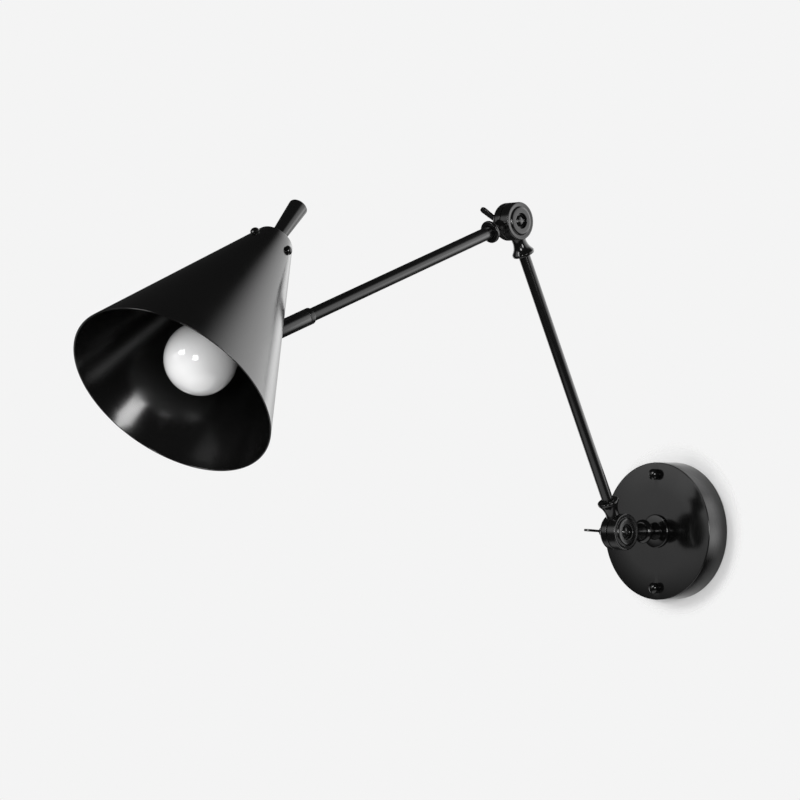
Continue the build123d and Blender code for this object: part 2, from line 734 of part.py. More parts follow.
def socket_cup():
    """Spun cup: collar that carries the shade, web that carries the socket, skirt round the socket."""
    collar_low = cup_neck_top - cup_collar_height
    bore_top = cup_collar_radius(cup_neck_top) - cup_neck_wall
    bore_low = cup_collar_radius(collar_low) - cup_neck_wall
    outline = (
        Line((bore_top, cup_neck_top), (cup_collar_radius(cup_neck_top), cup_neck_top)),
        Line((cup_collar_radius(cup_neck_top), cup_neck_top), (cup_collar_radius(collar_low), collar_low)),
        Line((cup_collar_radius(collar_low), collar_low), (cup_radius, -cup_web_drop)),
        Line((cup_radius, -cup_web_drop), (cup_radius, -cup_rim_drop)),
        Line((cup_radius, -cup_rim_drop), (cup_inner_radius, -cup_rim_drop)),
        Line((cup_inner_radius, -cup_rim_drop), (cup_inner_radius, web_bottom)),
        Line((cup_inner_radius, web_bottom), (cup_wire_hole_dia / 2, web_bottom)),
        Line((cup_wire_hole_dia / 2, web_bottom), (cup_wire_hole_dia / 2, -cup_web_drop)),
        Line((cup_wire_hole_dia / 2, -cup_web_drop), (cup_inner_radius, -cup_web_drop)),
        Line((cup_inner_radius, -cup_web_drop), (bore_low, collar_low)),
        Line((bore_low, collar_low), (bore_top, cup_neck_top)),
    )
    cup = turned(*outline)
    for place in ball_places():
        thread = disc(ball_shank_dia / 2 + running_gap, -ball_shank_length - ball_stand_off, 0)
        cup -= Rot(-shade_lean, 0, 0) * place * thread
    for side in (-1, 1):
        cup -= Pos(side * socket_screw_place, 0, 0) * disc(socket_screw_dia / 2 + running_gap,
                                                          web_bottom, -cup_web_drop)
    for place in rivet_places:
        cup -= place * disc(rivet_dia / 2 + running_gap, 0, cup_radius)
    entry_place = Pos(0, 0, (collar_low - cup_web_drop) / 2) * Rot(-90, 0, 0)
    return cup - entry_place * disc(cup_entry_dia / 2, 0, shade_radius)


# ---- bracket on the cup's skirt that carries the head pivot; local Y points to the arm ----
ear_inside = tongue_thickness / 2 + seat_gap
ear_outside = ear_inside + ear_thickness
bracket_face = cup_radius + bracket_base


def head_bracket():
    """Saddle riveted to the skirt, with two ears that straddle the pivot's tongue."""
    eye_radius = eye_dia / 2
    pivot = Pos(0, pivot_offset, -pivot_drop)
    reach = pivot_offset - bracket_face
    ears = pivot * pin_along_x(eye_radius, -ear_outside, ear_outside)
    ears += pivot * Pos(0, -reach / 2, 0) * Box(2 * ear_outside, reach, eye_dia)
    ears -= pivot * Pos(0, -reach / 2 + eye_dia / 2, 0) * Box(2 * ear_inside, reach + eye_dia, 2 * eye_dia)
    base = Pos(0, bracket_face / 2, -pivot_drop) * Box(2 * ear_outside, bracket_face, bracket_length)
    bracket = ears + (base - disc(cup_radius, -cup_rim_drop - bracket_length, 0))
    for place in rivet_places:
        bracket -= place * disc(rivet_dia / 2 + running_gap, 0, bracket_face)
    return bracket - pivot * pin_along_x(head_screw_dia / 2 + running_gap, -ear_outside, ear_outside)


def rivet():
    """Rivet with a low head, its tail flush with the inside of the skirt; local Z points outwards."""
    head = disc(rivet_head_dia / 2, bracket_face, bracket_face + rivet_head_height)
    head = fillet(head.edges().group_by(Axis.Z)[-1], rivet_head_height / 2)
    return head + disc(rivet_dia / 2, 0, bracket_face)


def head_screw():
    """Slotted screw through both ears and the tongue, into the nut."""
    top = ear_outside + head_screw_head_height
    head = pin_along_x(head_screw_head_dia / 2, ear_outside, top)
    head = fillet(head.edges().group_by(Axis.X)[-1], head_screw_head_height / 3)
    head -= Pos(top, 0, 0) * Box(2 * driver_slot_depth, driver_slot_width, head_screw_head_dia)
    end = -ear_outside - head_nut_height - head_screw_proud
    return head + pin_along_x(head_screw_dia / 2, end, ear_outside)


head_nut = pierced_nut(head_nut_flats, ear_outside, ear_outside + head_nut_height,
                       head_screw_dia / 2 + running_gap)
skirt_bore = disc(cup_inner_radius, -cup_rim_drop, -cup_web_drop)
head_pivot_in_lamp = Pos(0, pivot_offset, -pivot_drop)
keep("socket_cup", lamp_place * socket_cup())
keep("head_bracket", lamp_place * head_bracket())
keep("bracket_rivets", *[lamp_place * (place * rivet() - skirt_bore) for place in rivet_places])
keep("head_pivot_screw", lamp_place * head_pivot_in_lamp * head_screw())
keep("head_pivot_nut", lamp_place * head_pivot_in_lamp * Rot(0, -90, 0) * head_nut)

# ---- lamp socket and bulb on the lamp axis ----
base_radius = bulb_base_dia / 2
shell_inner = base_radius + socket_shell_gap
shell_outer = shell_inner + socket_shell_wall
socket_radius = shell_outer + running_gap + socket_wall
floor_level = web_bottom - socket_floor
bulb_tip_level = -bulb_middle_drop - bulb_dia / 2
contact_level = bulb_tip_level + bulb_length
base_rim_level = contact_level - bulb_base_length


def lamp_socket():
    """Moulded socket body with a floor for the contact and the screws."""
    body = disc(socket_radius, -socket_rim_drop, web_bottom)
    body = fillet(body.edges().group_by(Axis.Z)[0], socket_rim_round)
    body -= disc(shell_outer + running_gap, -socket_rim_drop, floor_level)
    for side in (-1, 1):
        body -= Pos(side * socket_screw_place, 0, 0) * disc(socket_screw_dia / 2 + hole_gap,
                                                           floor_level, web_bottom)
    return body


def socket_screw():
    """Slotted screw from the socket's floor into the cup's web."""
    head_bottom = floor_level - socket_screw_head_height
    head = disc(socket_screw_head_dia / 2, head_bottom, floor_level)
    head -= Pos(0, 0, head_bottom) * Box(driver_slot_width, socket_screw_head_dia, 2 * driver_slot_depth)
    return head + disc(socket_screw_dia / 2, floor_level, -cup_web_drop + hole_gap)


def socket_contact():
    """Sprung brass strip from the socket's floor to the middle of the bulb's cap."""
    half = contact_thickness / 2
    middle = (floor_level + contact_level) / 2
    route = Polyline((contact_foot, floor_level - half), (-contact_bend, floor_level - half),
                     (-contact_bend, middle), (contact_bend / 2, contact_level + half),
                     (contact_bend, contact_level + half))
    strip = trace(route, line_width=contact_thickness)
    return Plane.YZ * extrude(strip, contact_width / 2, both=True)


def bulb_outline(inset):
    """Bulb's profile from the cap to the tip, moved in by this much."""
    neck = base_radius - inset
    ball = bulb_dia / 2 - inset
    turn = math.radians(bulb_shoulder_angle)
    shoulder = (ball * math.cos(turn), -bulb_middle_drop + ball * math.sin(turn))
    bulge = (ball * math.cos(turn / 2), -bulb_middle_drop - ball * math.sin(turn / 2))
    tip = (0, -bulb_middle_drop - ball)
    flare = Spline([(neck, base_rim_level), shoulder],
                   tangents=[(0, -1), (math.sin(turn), -math.cos(turn))])
    return (
        Line((0, base_rim_level), (neck, base_rim_level)),
        flare,
        ThreePointArc(shoulder, bulge, tip),
        Line(tip, (0, base_rim_level)),
    )


def bulb_glass():
    """Thin blown shell, open where its neck is cemented into the cap."""
    neck = base_radius - bulb_cap_wall
    neck_end = base_rim_level + bulb_neck_in_cap
    shell = turned(*bulb_outline(0)) + disc(neck - running_gap, base_rim_level, neck_end)
    inside = turned(*bulb_outline(bulb_wall))
    return shell - inside - disc(base_radius - bulb_wall, base_rim_level, neck_end)


def bulb_cap():
    """Screw cap's metal shell, drawn in towards the insulator."""
    end = contact_level - bulb_insulator_height
    shoulder = end - bulb_cap_taper
    inside = base_radius - bulb_cap_wall
    end_inside = bulb_insulator_radius - bulb_cap_wall
    outline = (
        Line((inside, base_rim_level), (base_radius, base_rim_level)),
        Line((base_radius, base_rim_level), (base_radius, shoulder)),
        Line((base_radius, shoulder), (bulb_insulator_radius, end)),
        Line((bulb_insulator_radius, end), (end_inside, end)),
        Line((end_inside, end), (inside, shoulder)),
        Line((inside, shoulder), (inside, base_rim_level)),
    )
    return turned(*outline)


def bulb_insulator():
    """Black glass ring between the cap and the tip contact."""
    bottom = contact_level - bulb_insulator_height
    height = bulb_insulator_height - bulb_tip_height
    ring = Cone(bulb_insulator_radius, bulb_tip_dia / 2 + bulb_cap_wall, height, align=stood_up)
    return Pos(0, 0, bottom) * ring - disc(bulb_tip_dia / 4, bottom, contact_level)


def bulb_tip():
    """Solder contact in the middle of the cap."""
    face = contact_level - bulb_tip_height
    tip = disc(bulb_tip_dia / 2, face, contact_level)
    tip = fillet(tip.edges().group_by(Axis.Z)[-1], bulb_tip_height / 2)
    return tip + disc(bulb_tip_dia / 4, contact_level - bulb_insulator_height, face)


screw_sides = [Pos(side * socket_screw_place, 0, 0) for side in (-1, 1)]
keep("lamp_socket", lamp_place * lamp_socket())
keep("socket_screws", *[lamp_place * place * socket_screw() for place in screw_sides])
keep("socket_shell", lamp_place * tube(shell_outer, shell_inner,
                                       socket_shell_end - socket_rim_drop, floor_level))
keep("socket_contact", lamp_place * socket_contact())
keep("bulb_glass", lamp_place * bulb_glass())
keep("bulb_cap", lamp_place * bulb_cap())
keep("bulb_insulator", lamp_place * bulb_insulator())
keep("bulb_tip", lamp_place * bulb_tip())
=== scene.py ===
from math import atan2, cos, degrees, pi, radians, sin, tan
import bpy
from mathutils import Matrix, Vector


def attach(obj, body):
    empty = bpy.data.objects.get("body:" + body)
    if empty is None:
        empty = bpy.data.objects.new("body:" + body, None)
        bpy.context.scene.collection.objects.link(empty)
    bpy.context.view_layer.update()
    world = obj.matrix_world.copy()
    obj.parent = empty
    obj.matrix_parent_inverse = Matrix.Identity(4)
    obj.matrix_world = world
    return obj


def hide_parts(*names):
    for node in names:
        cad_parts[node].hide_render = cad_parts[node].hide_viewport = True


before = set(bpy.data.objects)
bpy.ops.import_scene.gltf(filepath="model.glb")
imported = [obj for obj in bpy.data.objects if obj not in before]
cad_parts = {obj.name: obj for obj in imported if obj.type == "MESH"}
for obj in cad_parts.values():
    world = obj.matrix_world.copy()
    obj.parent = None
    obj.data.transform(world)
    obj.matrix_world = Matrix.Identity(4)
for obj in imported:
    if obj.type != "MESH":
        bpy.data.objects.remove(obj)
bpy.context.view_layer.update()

print("accordion wall lamp: frame loaded")

# Pieces are drawn in millimetres about their own axis, then put in place and scaled to metres.
toMetres = Matrix.Scale(0.001, 4)
weldDistance = 0.002
sharpAngle = 32           # degrees between two faces that meet in an edge
runningGap = 0.05         # round a tube in its socket
fineEdge = 0.15           # how far an edge is broken: fine, and plain
brokenEdge = 0.3
roundSteps = {"shade": 224, "canopy": 192, "large": 128, "medium": 96, "small": 64, "hole": 48, "drill": 32}


def deselectAll():
    if bpy.context.object and bpy.context.object.mode != "OBJECT":
        bpy.ops.object.mode_set(mode="OBJECT")
    bpy.ops.object.select_all(action="DESELECT")


def pickOnly(piece):
    deselectAll()
    piece.select_set(True)
    bpy.context.view_layer.objects.active = piece


def move(x=0, y=0, z=0):
    return Matrix.Translation((x, y, z))


def turnX(angle):
    return Matrix.Rotation(radians(angle), 4, "X")


def turnY(angle):
    return Matrix.Rotation(radians(angle), 4, "Y")


def turnZ(angle):
    return Matrix.Rotation(radians(angle), 4, "Z")


def frameAt(origin, alongX, alongZ):
    x = Vector(alongX).normalized()
    z = Vector(alongZ).normalized()
    y = z.cross(x)
    place = Matrix((x, y, z)).transposed().to_4x4()
    place.translation = Vector(origin)
    return place


def armFrame(pivot, angle):
    return frameAt(pivot, (1, 0, 0), (0, -cos(radians(angle)), sin(radians(angle))))


# Where things are, in the CAD's own millimetres.
layout = {
    "wallPivotOut": 78.4,
    "lowerLength": 310.0, "lowerAngle": 62.9,
    "upperLength": 320.0, "upperAngle": -20.5,
    "swivelAngle": 14.25, "headTilt": 26.95,
    "pivotOffset": 36.0, "pivotDrop": 67.5, "shadeLean": 2.2,
    "wallWingAngle": 5.0, "elbowWingAngle": 42.0,
}
wallFrame = frameAt((0, 0, 0), (1, 0, 0), (0, -1, 0))
wallPivot = Vector((0, -layout["wallPivotOut"], 0))
stemFrame = frameAt(wallPivot, (1, 0, 0), (0, 1, 0))
lowerFrame = armFrame(wallPivot, layout["lowerAngle"])
elbowPivot = lowerFrame @ Vector((0, 0, layout["lowerLength"]))
lowerEndFrame = armFrame(elbowPivot, layout["lowerAngle"] + 180)
upperFrame = armFrame(elbowPivot, layout["upperAngle"])
swivelFrame = upperFrame @ turnZ(layout["swivelAngle"])
headFrame = swivelFrame @ move(z=layout["upperLength"])
lampPlace = move(y=-layout["pivotOffset"], z=layout["pivotDrop"])
lampFrame = headFrame @ turnX(180 + layout["headTilt"]) @ lampPlace
shadeFrame = lampFrame @ turnX(-layout["shadeLean"])


# Outlines are lists of (radius, height) points.
def arcPoints(centre, radius, start, end, count):
    turns = [radians(start + (end - start) * step / count) for step in range(count + 1)]
    return [(centre[0] + radius * cos(turn), centre[1] + radius * sin(turn)) for turn in turns]


def rodOutline(radius, low, high):
    return [(0, low), (radius, low), (radius, high), (0, high)]


def domePoints(radius, shoulder, top, count):
    rise = top - shoulder
    ball = (radius ** 2 + rise ** 2) / (2 * rise)
    start = degrees(atan2(shoulder - (top - ball), radius))
    points = arcPoints((0, top - ball), ball, start, 90, count)
    return points[:-1] + [(0, top)]


def curveThrough(points, count=8):
    drawn = []
    padded = [points[0]] + list(points) + [points[-1]]
    for before, start, end, after in zip(padded, padded[1:], padded[2:], padded[3:]):
        for step in range(count):
            share = step / count
            knots = []
            for axis in (0, 1):
                leave = (end[axis] - before[axis]) / 2
                arrive = (after[axis] - start[axis]) / 2
                knots.append((2 * share ** 3 - 3 * share ** 2 + 1) * start[axis]
                             + (share ** 3 - 2 * share ** 2 + share) * leave
                             + (-2 * share ** 3 + 3 * share ** 2) * end[axis]
                             + (share ** 3 - share ** 2) * arrive)
            drawn.append(tuple(knots))
    return drawn + [tuple(points[-1])]


easing = {"shortest": 0.02, "nearlyStraight": 158, "mostOfSide": 0.45}


def easeCorners(outline, soft, steps=4):
    closed = outline[0] == outline[-1]
    shortest, most = easing["shortest"], easing["mostOfSide"]
    points = [Vector(point) for point in (outline[:-1] if closed else outline)]
    points = [point for index, point in enumerate(points)
              if index == 0 or (point - points[index - 1]).length > shortest]
    eased = []
    for index, corner in enumerate(points):
        if not closed and index in (0, len(points) - 1):
            eased.append(tuple(corner))
            continue
        toBefore = points[index - 1] - corner
        toAfter = points[(index + 1) % len(points)] - corner
        opening = toBefore.angle(toAfter)
        straight = opening > radians(easing["nearlyStraight"])
        if straight or toBefore.length < shortest or toAfter.length < shortest:
            eased.append(tuple(corner))
            continue
        reach = min(soft / tan(opening / 2), toBefore.length * most, toAfter.length * most)
        start = corner + toBefore.normalized() * reach
        end = corner + toAfter.normalized() * reach
        for step in range(steps + 1):
            share = step / steps
            point = start * (1 - share) ** 2 + corner * 2 * share * (1 - share) + end * share ** 2
            eased.append(tuple(point))
    return eased + [eased[0]] if closed else eased


def turnPiece(name, outline, steps):
    deselectAll()
    bpy.ops.mesh.primitive_plane_add(size=1, location=(0, 0, 0))
    piece = bpy.context.object
    piece.name = piece.data.name = name
    bpy.ops.object.mode_set(mode="EDIT")
    bpy.ops.mesh.merge(type="CENTER")                      # one point, drawn out along the outline
    bpy.ops.transform.translate(value=(outline[0][0], 0, outline[0][1]))
    for start, end in zip(outline, outline[1:]):
        stroke = (end[0] - start[0], 0, end[1] - start[1])
        bpy.ops.mesh.extrude_region_move(TRANSFORM_OT_translate={"value": stroke})
    bpy.ops.mesh.select_all(action="SELECT")
    bpy.ops.mesh.spin(steps=steps, angle=2 * pi, center=(0, 0, 0), axis=(0, 0, 1))
    bpy.ops.mesh.select_all(action="SELECT")
    bpy.ops.mesh.remove_doubles(threshold=weldDistance)
    bpy.ops.mesh.normals_make_consistent(inside=False)
    bpy.ops.object.mode_set(mode="OBJECT")
    return piece


def slab(points, stroke):
    deselectAll()
    bpy.ops.mesh.primitive_circle_add(vertices=len(points), radius=1, fill_type="NGON")
    piece = bpy.context.object
    for vertex, point in zip(piece.data.vertices, points):
        vertex.co = point
    bpy.ops.object.mode_set(mode="EDIT")
    bpy.ops.mesh.select_all(action="SELECT")
    bpy.ops.mesh.extrude_region_move(TRANSFORM_OT_translate={"value": stroke})
    bpy.ops.mesh.select_all(action="SELECT")
    bpy.ops.mesh.normals_make_consistent(inside=False)
    bpy.ops.object.mode_set(mode="OBJECT")
    return piece


def setDown(piece, place):
    pickOnly(piece)
    piece.matrix_world = place
    bpy.ops.object.transform_apply(location=True, rotation=True, scale=True)
    return piece


def joined(name, pieces):
    deselectAll()
    for piece in pieces:
        piece.select_set(True)
    bpy.context.view_layer.objects.active = pieces[0]
    if len(pieces) > 1:
        bpy.ops.object.join()
    pieces[0].name = pieces[0].data.name = name
    return pieces[0]


def combine(piece, other, operation):
    pickOnly(piece)
    step = piece.modifiers.new(operation.lower(), "BOOLEAN")
    step.operation = operation
    step.object = other
    step.solver = "EXACT"
    bpy.ops.object.modifier_apply(modifier=step.name)
    bpy.data.objects.remove(other)
    return piece


def softCast(piece, grain, rounds):
    pickOnly(piece)
    skin = piece.modifiers.new("skin", "REMESH")
    skin.mode = "VOXEL"
    skin.voxel_size = grain
    bpy.ops.object.modifier_apply(modifier=skin.name)
    ease = piece.modifiers.new("ease", "SMOOTH")
    ease.factor = 0.5
    ease.iterations = rounds
    bpy.ops.object.modifier_apply(modifier=ease.name)
    return piece


def softEdges(piece, width, segments=2, angle=35):
    pickOnly(piece)
    ease = piece.modifiers.new("ease", "BEVEL")
    ease.width = width
    ease.segments = segments
    ease.limit_method = "ANGLE"
    ease.angle_limit = radians(angle)
    ease.harden_normals = False
    bpy.ops.object.modifier_apply(modifier=ease.name)
    return piece


def barAlong(name, size, middle=(0, 0, 0)):
    deselectAll()
    bpy.ops.mesh.primitive_cube_add(size=1, location=middle)
    bar = bpy.context.object
    bar.name = name
    bar.scale = size
    bpy.ops.object.transform_apply(location=True, rotation=True, scale=True)
    return bar


def fit(piece, place, material, body, slot, *nodes):
    setDown(piece, toMetres @ place)
    piece.data.materials.clear()
    piece.data.materials.append(material)
    pickOnly(piece)
    bpy.ops.object.shade_smooth_by_angle(angle=radians(sharpAngle))
    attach(piece, body)
    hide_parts(*nodes)
    return piece


# Shader groups that more than one finish uses.
def newGroup(name, inputs, outputs):
    group = bpy.data.node_groups.new(name, "ShaderNodeTree")
    for label, kind, value in inputs:
        socket = group.interface.new_socket(name=label, in_out="INPUT", socket_type=kind)
        socket.default_value = value
    for label, kind in outputs:
        group.interface.new_socket(name=label, in_out="OUTPUT", socket_type=kind)
    return group, group.nodes.new("NodeGroupInput"), group.nodes.new("NodeGroupOutput")


def addNode(tree, kind, **settings):
    node = tree.nodes.new(kind)
    for key, value in settings.items():
        setattr(node, key, value)
    return node


def mixColours(tree):
    node = addNode(tree, "ShaderNodeMix", data_type="RGBA", blend_type="MIX")
    return node.inputs["Factor"], node.inputs[6], node.inputs[7], node.outputs[2]


def lacquerGroup():
    # Sprayed paint: orange peel, faint clouds in the gloss, a little dust in the colour.
    group, given, result = newGroup(
        "sprayedLacquer",
        [("Tone", "NodeSocketColor", (0.01, 0.01, 0.01, 1)),
         ("Dust Tone", "NodeSocketColor", (0.05, 0.05, 0.05, 1)),
         ("Peel Scale", "NodeSocketFloat", 700.0), ("Gloss Low", "NodeSocketFloat", 0.2),
         ("Gloss High", "NodeSocketFloat", 0.3)],
        [("Colour", "NodeSocketColor"), ("Roughness", "NodeSocketFloat"), ("Height", "NodeSocketFloat")])
    where = addNode(group, "ShaderNodeTexCoord")
    peel = addNode(group, "ShaderNodeTexNoise")
    peel.inputs["Detail"].default_value = 2
    clouds = addNode(group, "ShaderNodeTexNoise")
    clouds.inputs["Scale"].default_value = 45
    clouds.inputs["Detail"].default_value = 5
    specks = addNode(group, "ShaderNodeTexNoise")
    specks.inputs["Scale"].default_value = 900
    specks.inputs["Detail"].default_value = 3
    speckMask = addNode(group, "ShaderNodeMapRange")
    speckMask.inputs["From Min"].default_value = 0.66
    speckMask.inputs["From Max"].default_value = 0.8
    speckMask.inputs["To Max"].default_value = 0.35
    gloss = addNode(group, "ShaderNodeMapRange")
    gloss.inputs["From Min"].default_value = 0.3
    gloss.inputs["From Max"].default_value = 0.7
    share, first, second, colour = mixColours(group)
    link = group.links.new
    for texture in (peel, clouds, specks):
        link(where.outputs["Object"], texture.inputs["Vector"])
    link(given.outputs["Peel Scale"], peel.inputs["Scale"])
    link(clouds.outputs["Fac"], gloss.inputs["Value"])
    link(given.outputs["Gloss Low"], gloss.inputs["To Min"])
    link(given.outputs["Gloss High"], gloss.inputs["To Max"])
    link(specks.outputs["Fac"], speckMask.inputs["Value"])
    link(speckMask.outputs["Result"], share)
    link(given.outputs["Tone"], first)
    link(given.outputs["Dust Tone"], second)
    link(colour, result.inputs["Colour"])
    link(gloss.outputs["Result"], result.inputs["Roughness"])
    link(peel.outputs["Fac"], result.inputs["Height"])
    return group


def platedGroup():
    # Plated or drawn metal: fine uneven grain in tone, gloss and surface.
    group, given, result = newGroup(
        "platedMetal",
        [("Light Tone", "NodeSocketColor", (0.7, 0.7, 0.7, 1)),
         ("Dark Tone", "NodeSocketColor", (0.5, 0.5, 0.5, 1)),
         ("Patch Scale", "NodeSocketFloat", 300.0), ("Gloss Low", "NodeSocketFloat", 0.25),
         ("Gloss High", "NodeSocketFloat", 0.45)],
        [("Colour", "NodeSocketColor"), ("Roughness", "NodeSocketFloat"), ("Height", "NodeSocketFloat")])
    where = addNode(group, "ShaderNodeTexCoord")
    patches = addNode(group, "ShaderNodeTexVoronoi")
    grain = addNode(group, "ShaderNodeTexNoise")
    grain.inputs["Scale"].default_value = 1500
    grain.inputs["Detail"].default_value = 3
    blend = addNode(group, "ShaderNodeMath", operation="MULTIPLY_ADD")
    blend.inputs[1].default_value = 0.5
    gloss = addNode(group, "ShaderNodeMapRange")
    share, first, second, colour = mixColours(group)
    link = group.links.new
    for texture in (patches, grain):
        link(where.outputs["Object"], texture.inputs["Vector"])
    link(given.outputs["Patch Scale"], patches.inputs["Scale"])
    link(patches.outputs["Distance"], blend.inputs[0])
    link(grain.outputs["Fac"], blend.inputs[2])
    link(blend.outputs[0], share)
    link(blend.outputs[0], gloss.inputs["Value"])
    link(given.outputs["Gloss Low"], gloss.inputs["To Min"])
    link(given.outputs["Gloss High"], gloss.inputs["To Max"])
    link(given.outputs["Light Tone"], first)
    link(given.outputs["Dark Tone"], second)
    link(colour, result.inputs["Colour"])
    link(gloss.outputs["Result"], result.inputs["Roughness"])
    link(grain.outputs["Fac"], result.inputs["Height"])
    return group


lacquer = lacquerGroup()
plated = platedGroup()


def newFinish(name, group, values, relief, metallic=0.0, specular=0.5, coat=0.0, coatRoughness=0.1):
    finish = bpy.data.materials.new(name)
    finish.use_nodes = True
    tree = finish.node_tree
    shader = tree.nodes["Principled BSDF"]
    pattern = addNode(tree, "ShaderNodeGroup", node_tree=group)
    for label, value in values.items():
        pattern.inputs[label].default_value = value
    bump = addNode(tree, "ShaderNodeBump")
    bump.inputs["Strength"].default_value = relief[0]
    bump.inputs["Distance"].default_value = relief[1]
    tree.links.new(pattern.outputs["Colour"], shader.inputs["Base Color"])
    tree.links.new(pattern.outputs["Roughness"], shader.inputs["Roughness"])
    tree.links.new(pattern.outputs["Height"], bump.inputs["Height"])
    tree.links.new(bump.outputs["Normal"], shader.inputs["Normal"])
    shader.inputs["Metallic"].default_value = metallic
    shader.inputs["Specular IOR Level"].default_value = specular
    shader.inputs["Coat Weight"].default_value = coat
    shader.inputs["Coat Roughness"].default_value = coatRoughness
    return finish


def grey(value):
    return (value, value, value, 1)


def paint(name, tone, dust, peel, glossLow, glossHigh, relief, **more):
    values = {"Tone": grey(tone), "Dust Tone": grey(dust), "Peel Scale": peel,
              "Gloss Low": glossLow, "Gloss High": glossHigh}
    return newFinish(name, lacquer, values, relief, **more)


def metal(name, light, dark, patch, glossLow, glossHigh, relief, **more):
    values = {"Light Tone": light, "Dark Tone": dark, "Patch Scale": patch,
              "Gloss Low": glossLow, "Gloss High": glossHigh}
    return newFinish(name, plated, values, relief, metallic=1.0, **more)


# Tone, dust tone, peel scale, gloss from and to, relief; metals have two tones and the size of their patches.
armBlack = paint("armBlack", 0.004, 0.02, 900, 0.17, 0.22, (0.03, 0.0001))
castBlack = paint("castBlack", 0.004, 0.02, 1100, 0.13, 0.18, (0.04, 0.0001))
shadeBlack = paint("shadeBlack", 0.003, 0.012, 750, 0.14, 0.18, (0.02, 0.0001))
canopyBlack = paint("canopyBlack", 0.003, 0.015, 800, 0.12, 0.17, (0.03, 0.0001))
glossBlack = paint("glossBlack", 0.003, 0.015, 1000, 0.11, 0.16, (0.03, 0.0001))
handleBlack = paint("handleBlack", 0.004, 0.015, 800, 0.16, 0.21, (0.03, 0.0001))
zincSteel = metal("zincSteel", (0.72, 0.73, 0.74, 1), (0.5, 0.52, 0.55, 1), 350, 0.28, 0.5, (0.2, 0.0001))
greenPaint = paint("greenPaint", 0.05, 0.08, 900, 0.3, 0.4, (0.1, 0.0002))
brassMetal = metal("brassMetal", (0.85, 0.62, 0.28, 1), (0.62, 0.42, 0.17, 1), 500, 0.2, 0.4, (0.2, 0.0001))
capMetal = metal("capMetal", (0.78, 0.78, 0.77, 1), (0.6, 0.6, 0.6, 1), 600, 0.25, 0.45, (0.2, 0.0001))
mouldedBlack = paint("mouldedBlack", 0.02, 0.05, 1400, 0.4, 0.5, (0.2, 0.0002))
fibreSheet = paint("fibreSheet", 0.05, 0.12, 1600, 0.7, 0.85, (0.4, 0.0003))
opalGlass = paint("opalGlass", 0.86, 0.90, 120, 0.10, 0.16, (0.02, 0.0002), coat=0.6, coatRoughness=0.05)

print("finishes ready")

# Canopy: spun dish, drilled for the stem's nipple and the two studs.
canopyShape = {"radius": 63.5, "depth": 25.4, "wall": 1.5, "edge": 0.8, "innerEdge": 1.0, "faceRing": 0.6,
               "studSpacing": 105.0, "studHole": 2.4, "nippleHole": 5.4}


def makeCanopy():
    shape = canopyShape
    radius, depth, wall, edge = shape["radius"], shape["depth"], shape["wall"], shape["edge"]
    corner = arcPoints((radius - edge, depth - edge), edge, 0, 90, 8)
    inner, innerEdge, middle = radius - wall, shape["innerEdge"], shape["nippleHole"]
    outline = [(middle, depth - wall), (inner - innerEdge, depth - wall), (inner, depth - wall - innerEdge),
               (inner, brokenEdge), (inner + brokenEdge, 0), (radius - brokenEdge, 0), (radius, brokenEdge)]
    outline += corner + [(radius * shape["faceRing"], depth), (middle, depth), (middle, depth - wall)]
    canopy = turnPiece("canopy_dish", outline, roundSteps["canopy"])
    for side in (-1, 1):
        hole = turnPiece("hole", rodOutline(shape["studHole"], 0, 2 * depth), roundSteps["hole"])
        setDown(hole, move(y=side * shape["studSpacing"] / 2))
        combine(canopy, hole, "DIFFERENCE")
    return canopy


fit(makeCanopy(), wallFrame, canopyBlack, "wall_mount", "black_metal", "canopy")

# Cap nuts: domed, with a turned foot.
capNutShape = {"radius": 5.0, "length": 7.4, "dome": 2.2, "bore": 2.15, "boreDepth": 5.3, "edge": 0.25}


def makeCapNuts():
    shape = capNutShape
    shoulder = shape["length"] - shape["dome"]
    outline = easeCorners([(0, shape["boreDepth"]), (shape["bore"], shape["boreDepth"]), (shape["bore"], 0),
                           (shape["radius"], 0), (shape["radius"], shoulder)], shape["edge"])
    outline += domePoints(shape["radius"], shoulder, shape["length"], count=12)[1:]
    nuts = []
    for side in (-1, 1):
        nut = turnPiece("cap_nut", outline, roundSteps["small"])
        nuts.append(setDown(nut, move(y=side * canopyShape["studSpacing"] / 2, z=canopyShape["depth"])))
    return joined("canopy_cap_nuts", nuts)


fit(makeCapNuts(), wallFrame, glossBlack, "wall_mount", "black_metal", "cap_nuts")

# Stem: flange, hollowed neck and rounded collar. The neck's start, waist and foot are shares of its radius.
stemShape = {"reach": 53.0, "flange": 15.5, "flangeThick": 2.5, "neck": 6.6, "neckStart": 1.1,
             "neckWaist": 0.97, "neckFoot": 1.25, "neckLift": 0.05, "waistShift": 1, "collar": 11.0,
             "collarFace": 0.72, "collarFront": 30.5, "collarBack": 37.5, "spigotBore": 4.35, "boreEdge": 0.2,
             "nippleBore": 5.15, "boreStep": 43.7, "frontBoreEnd": 39.8, "wireWay": 3.5, "spigot": 4.3,
             "spigotLength": 9}


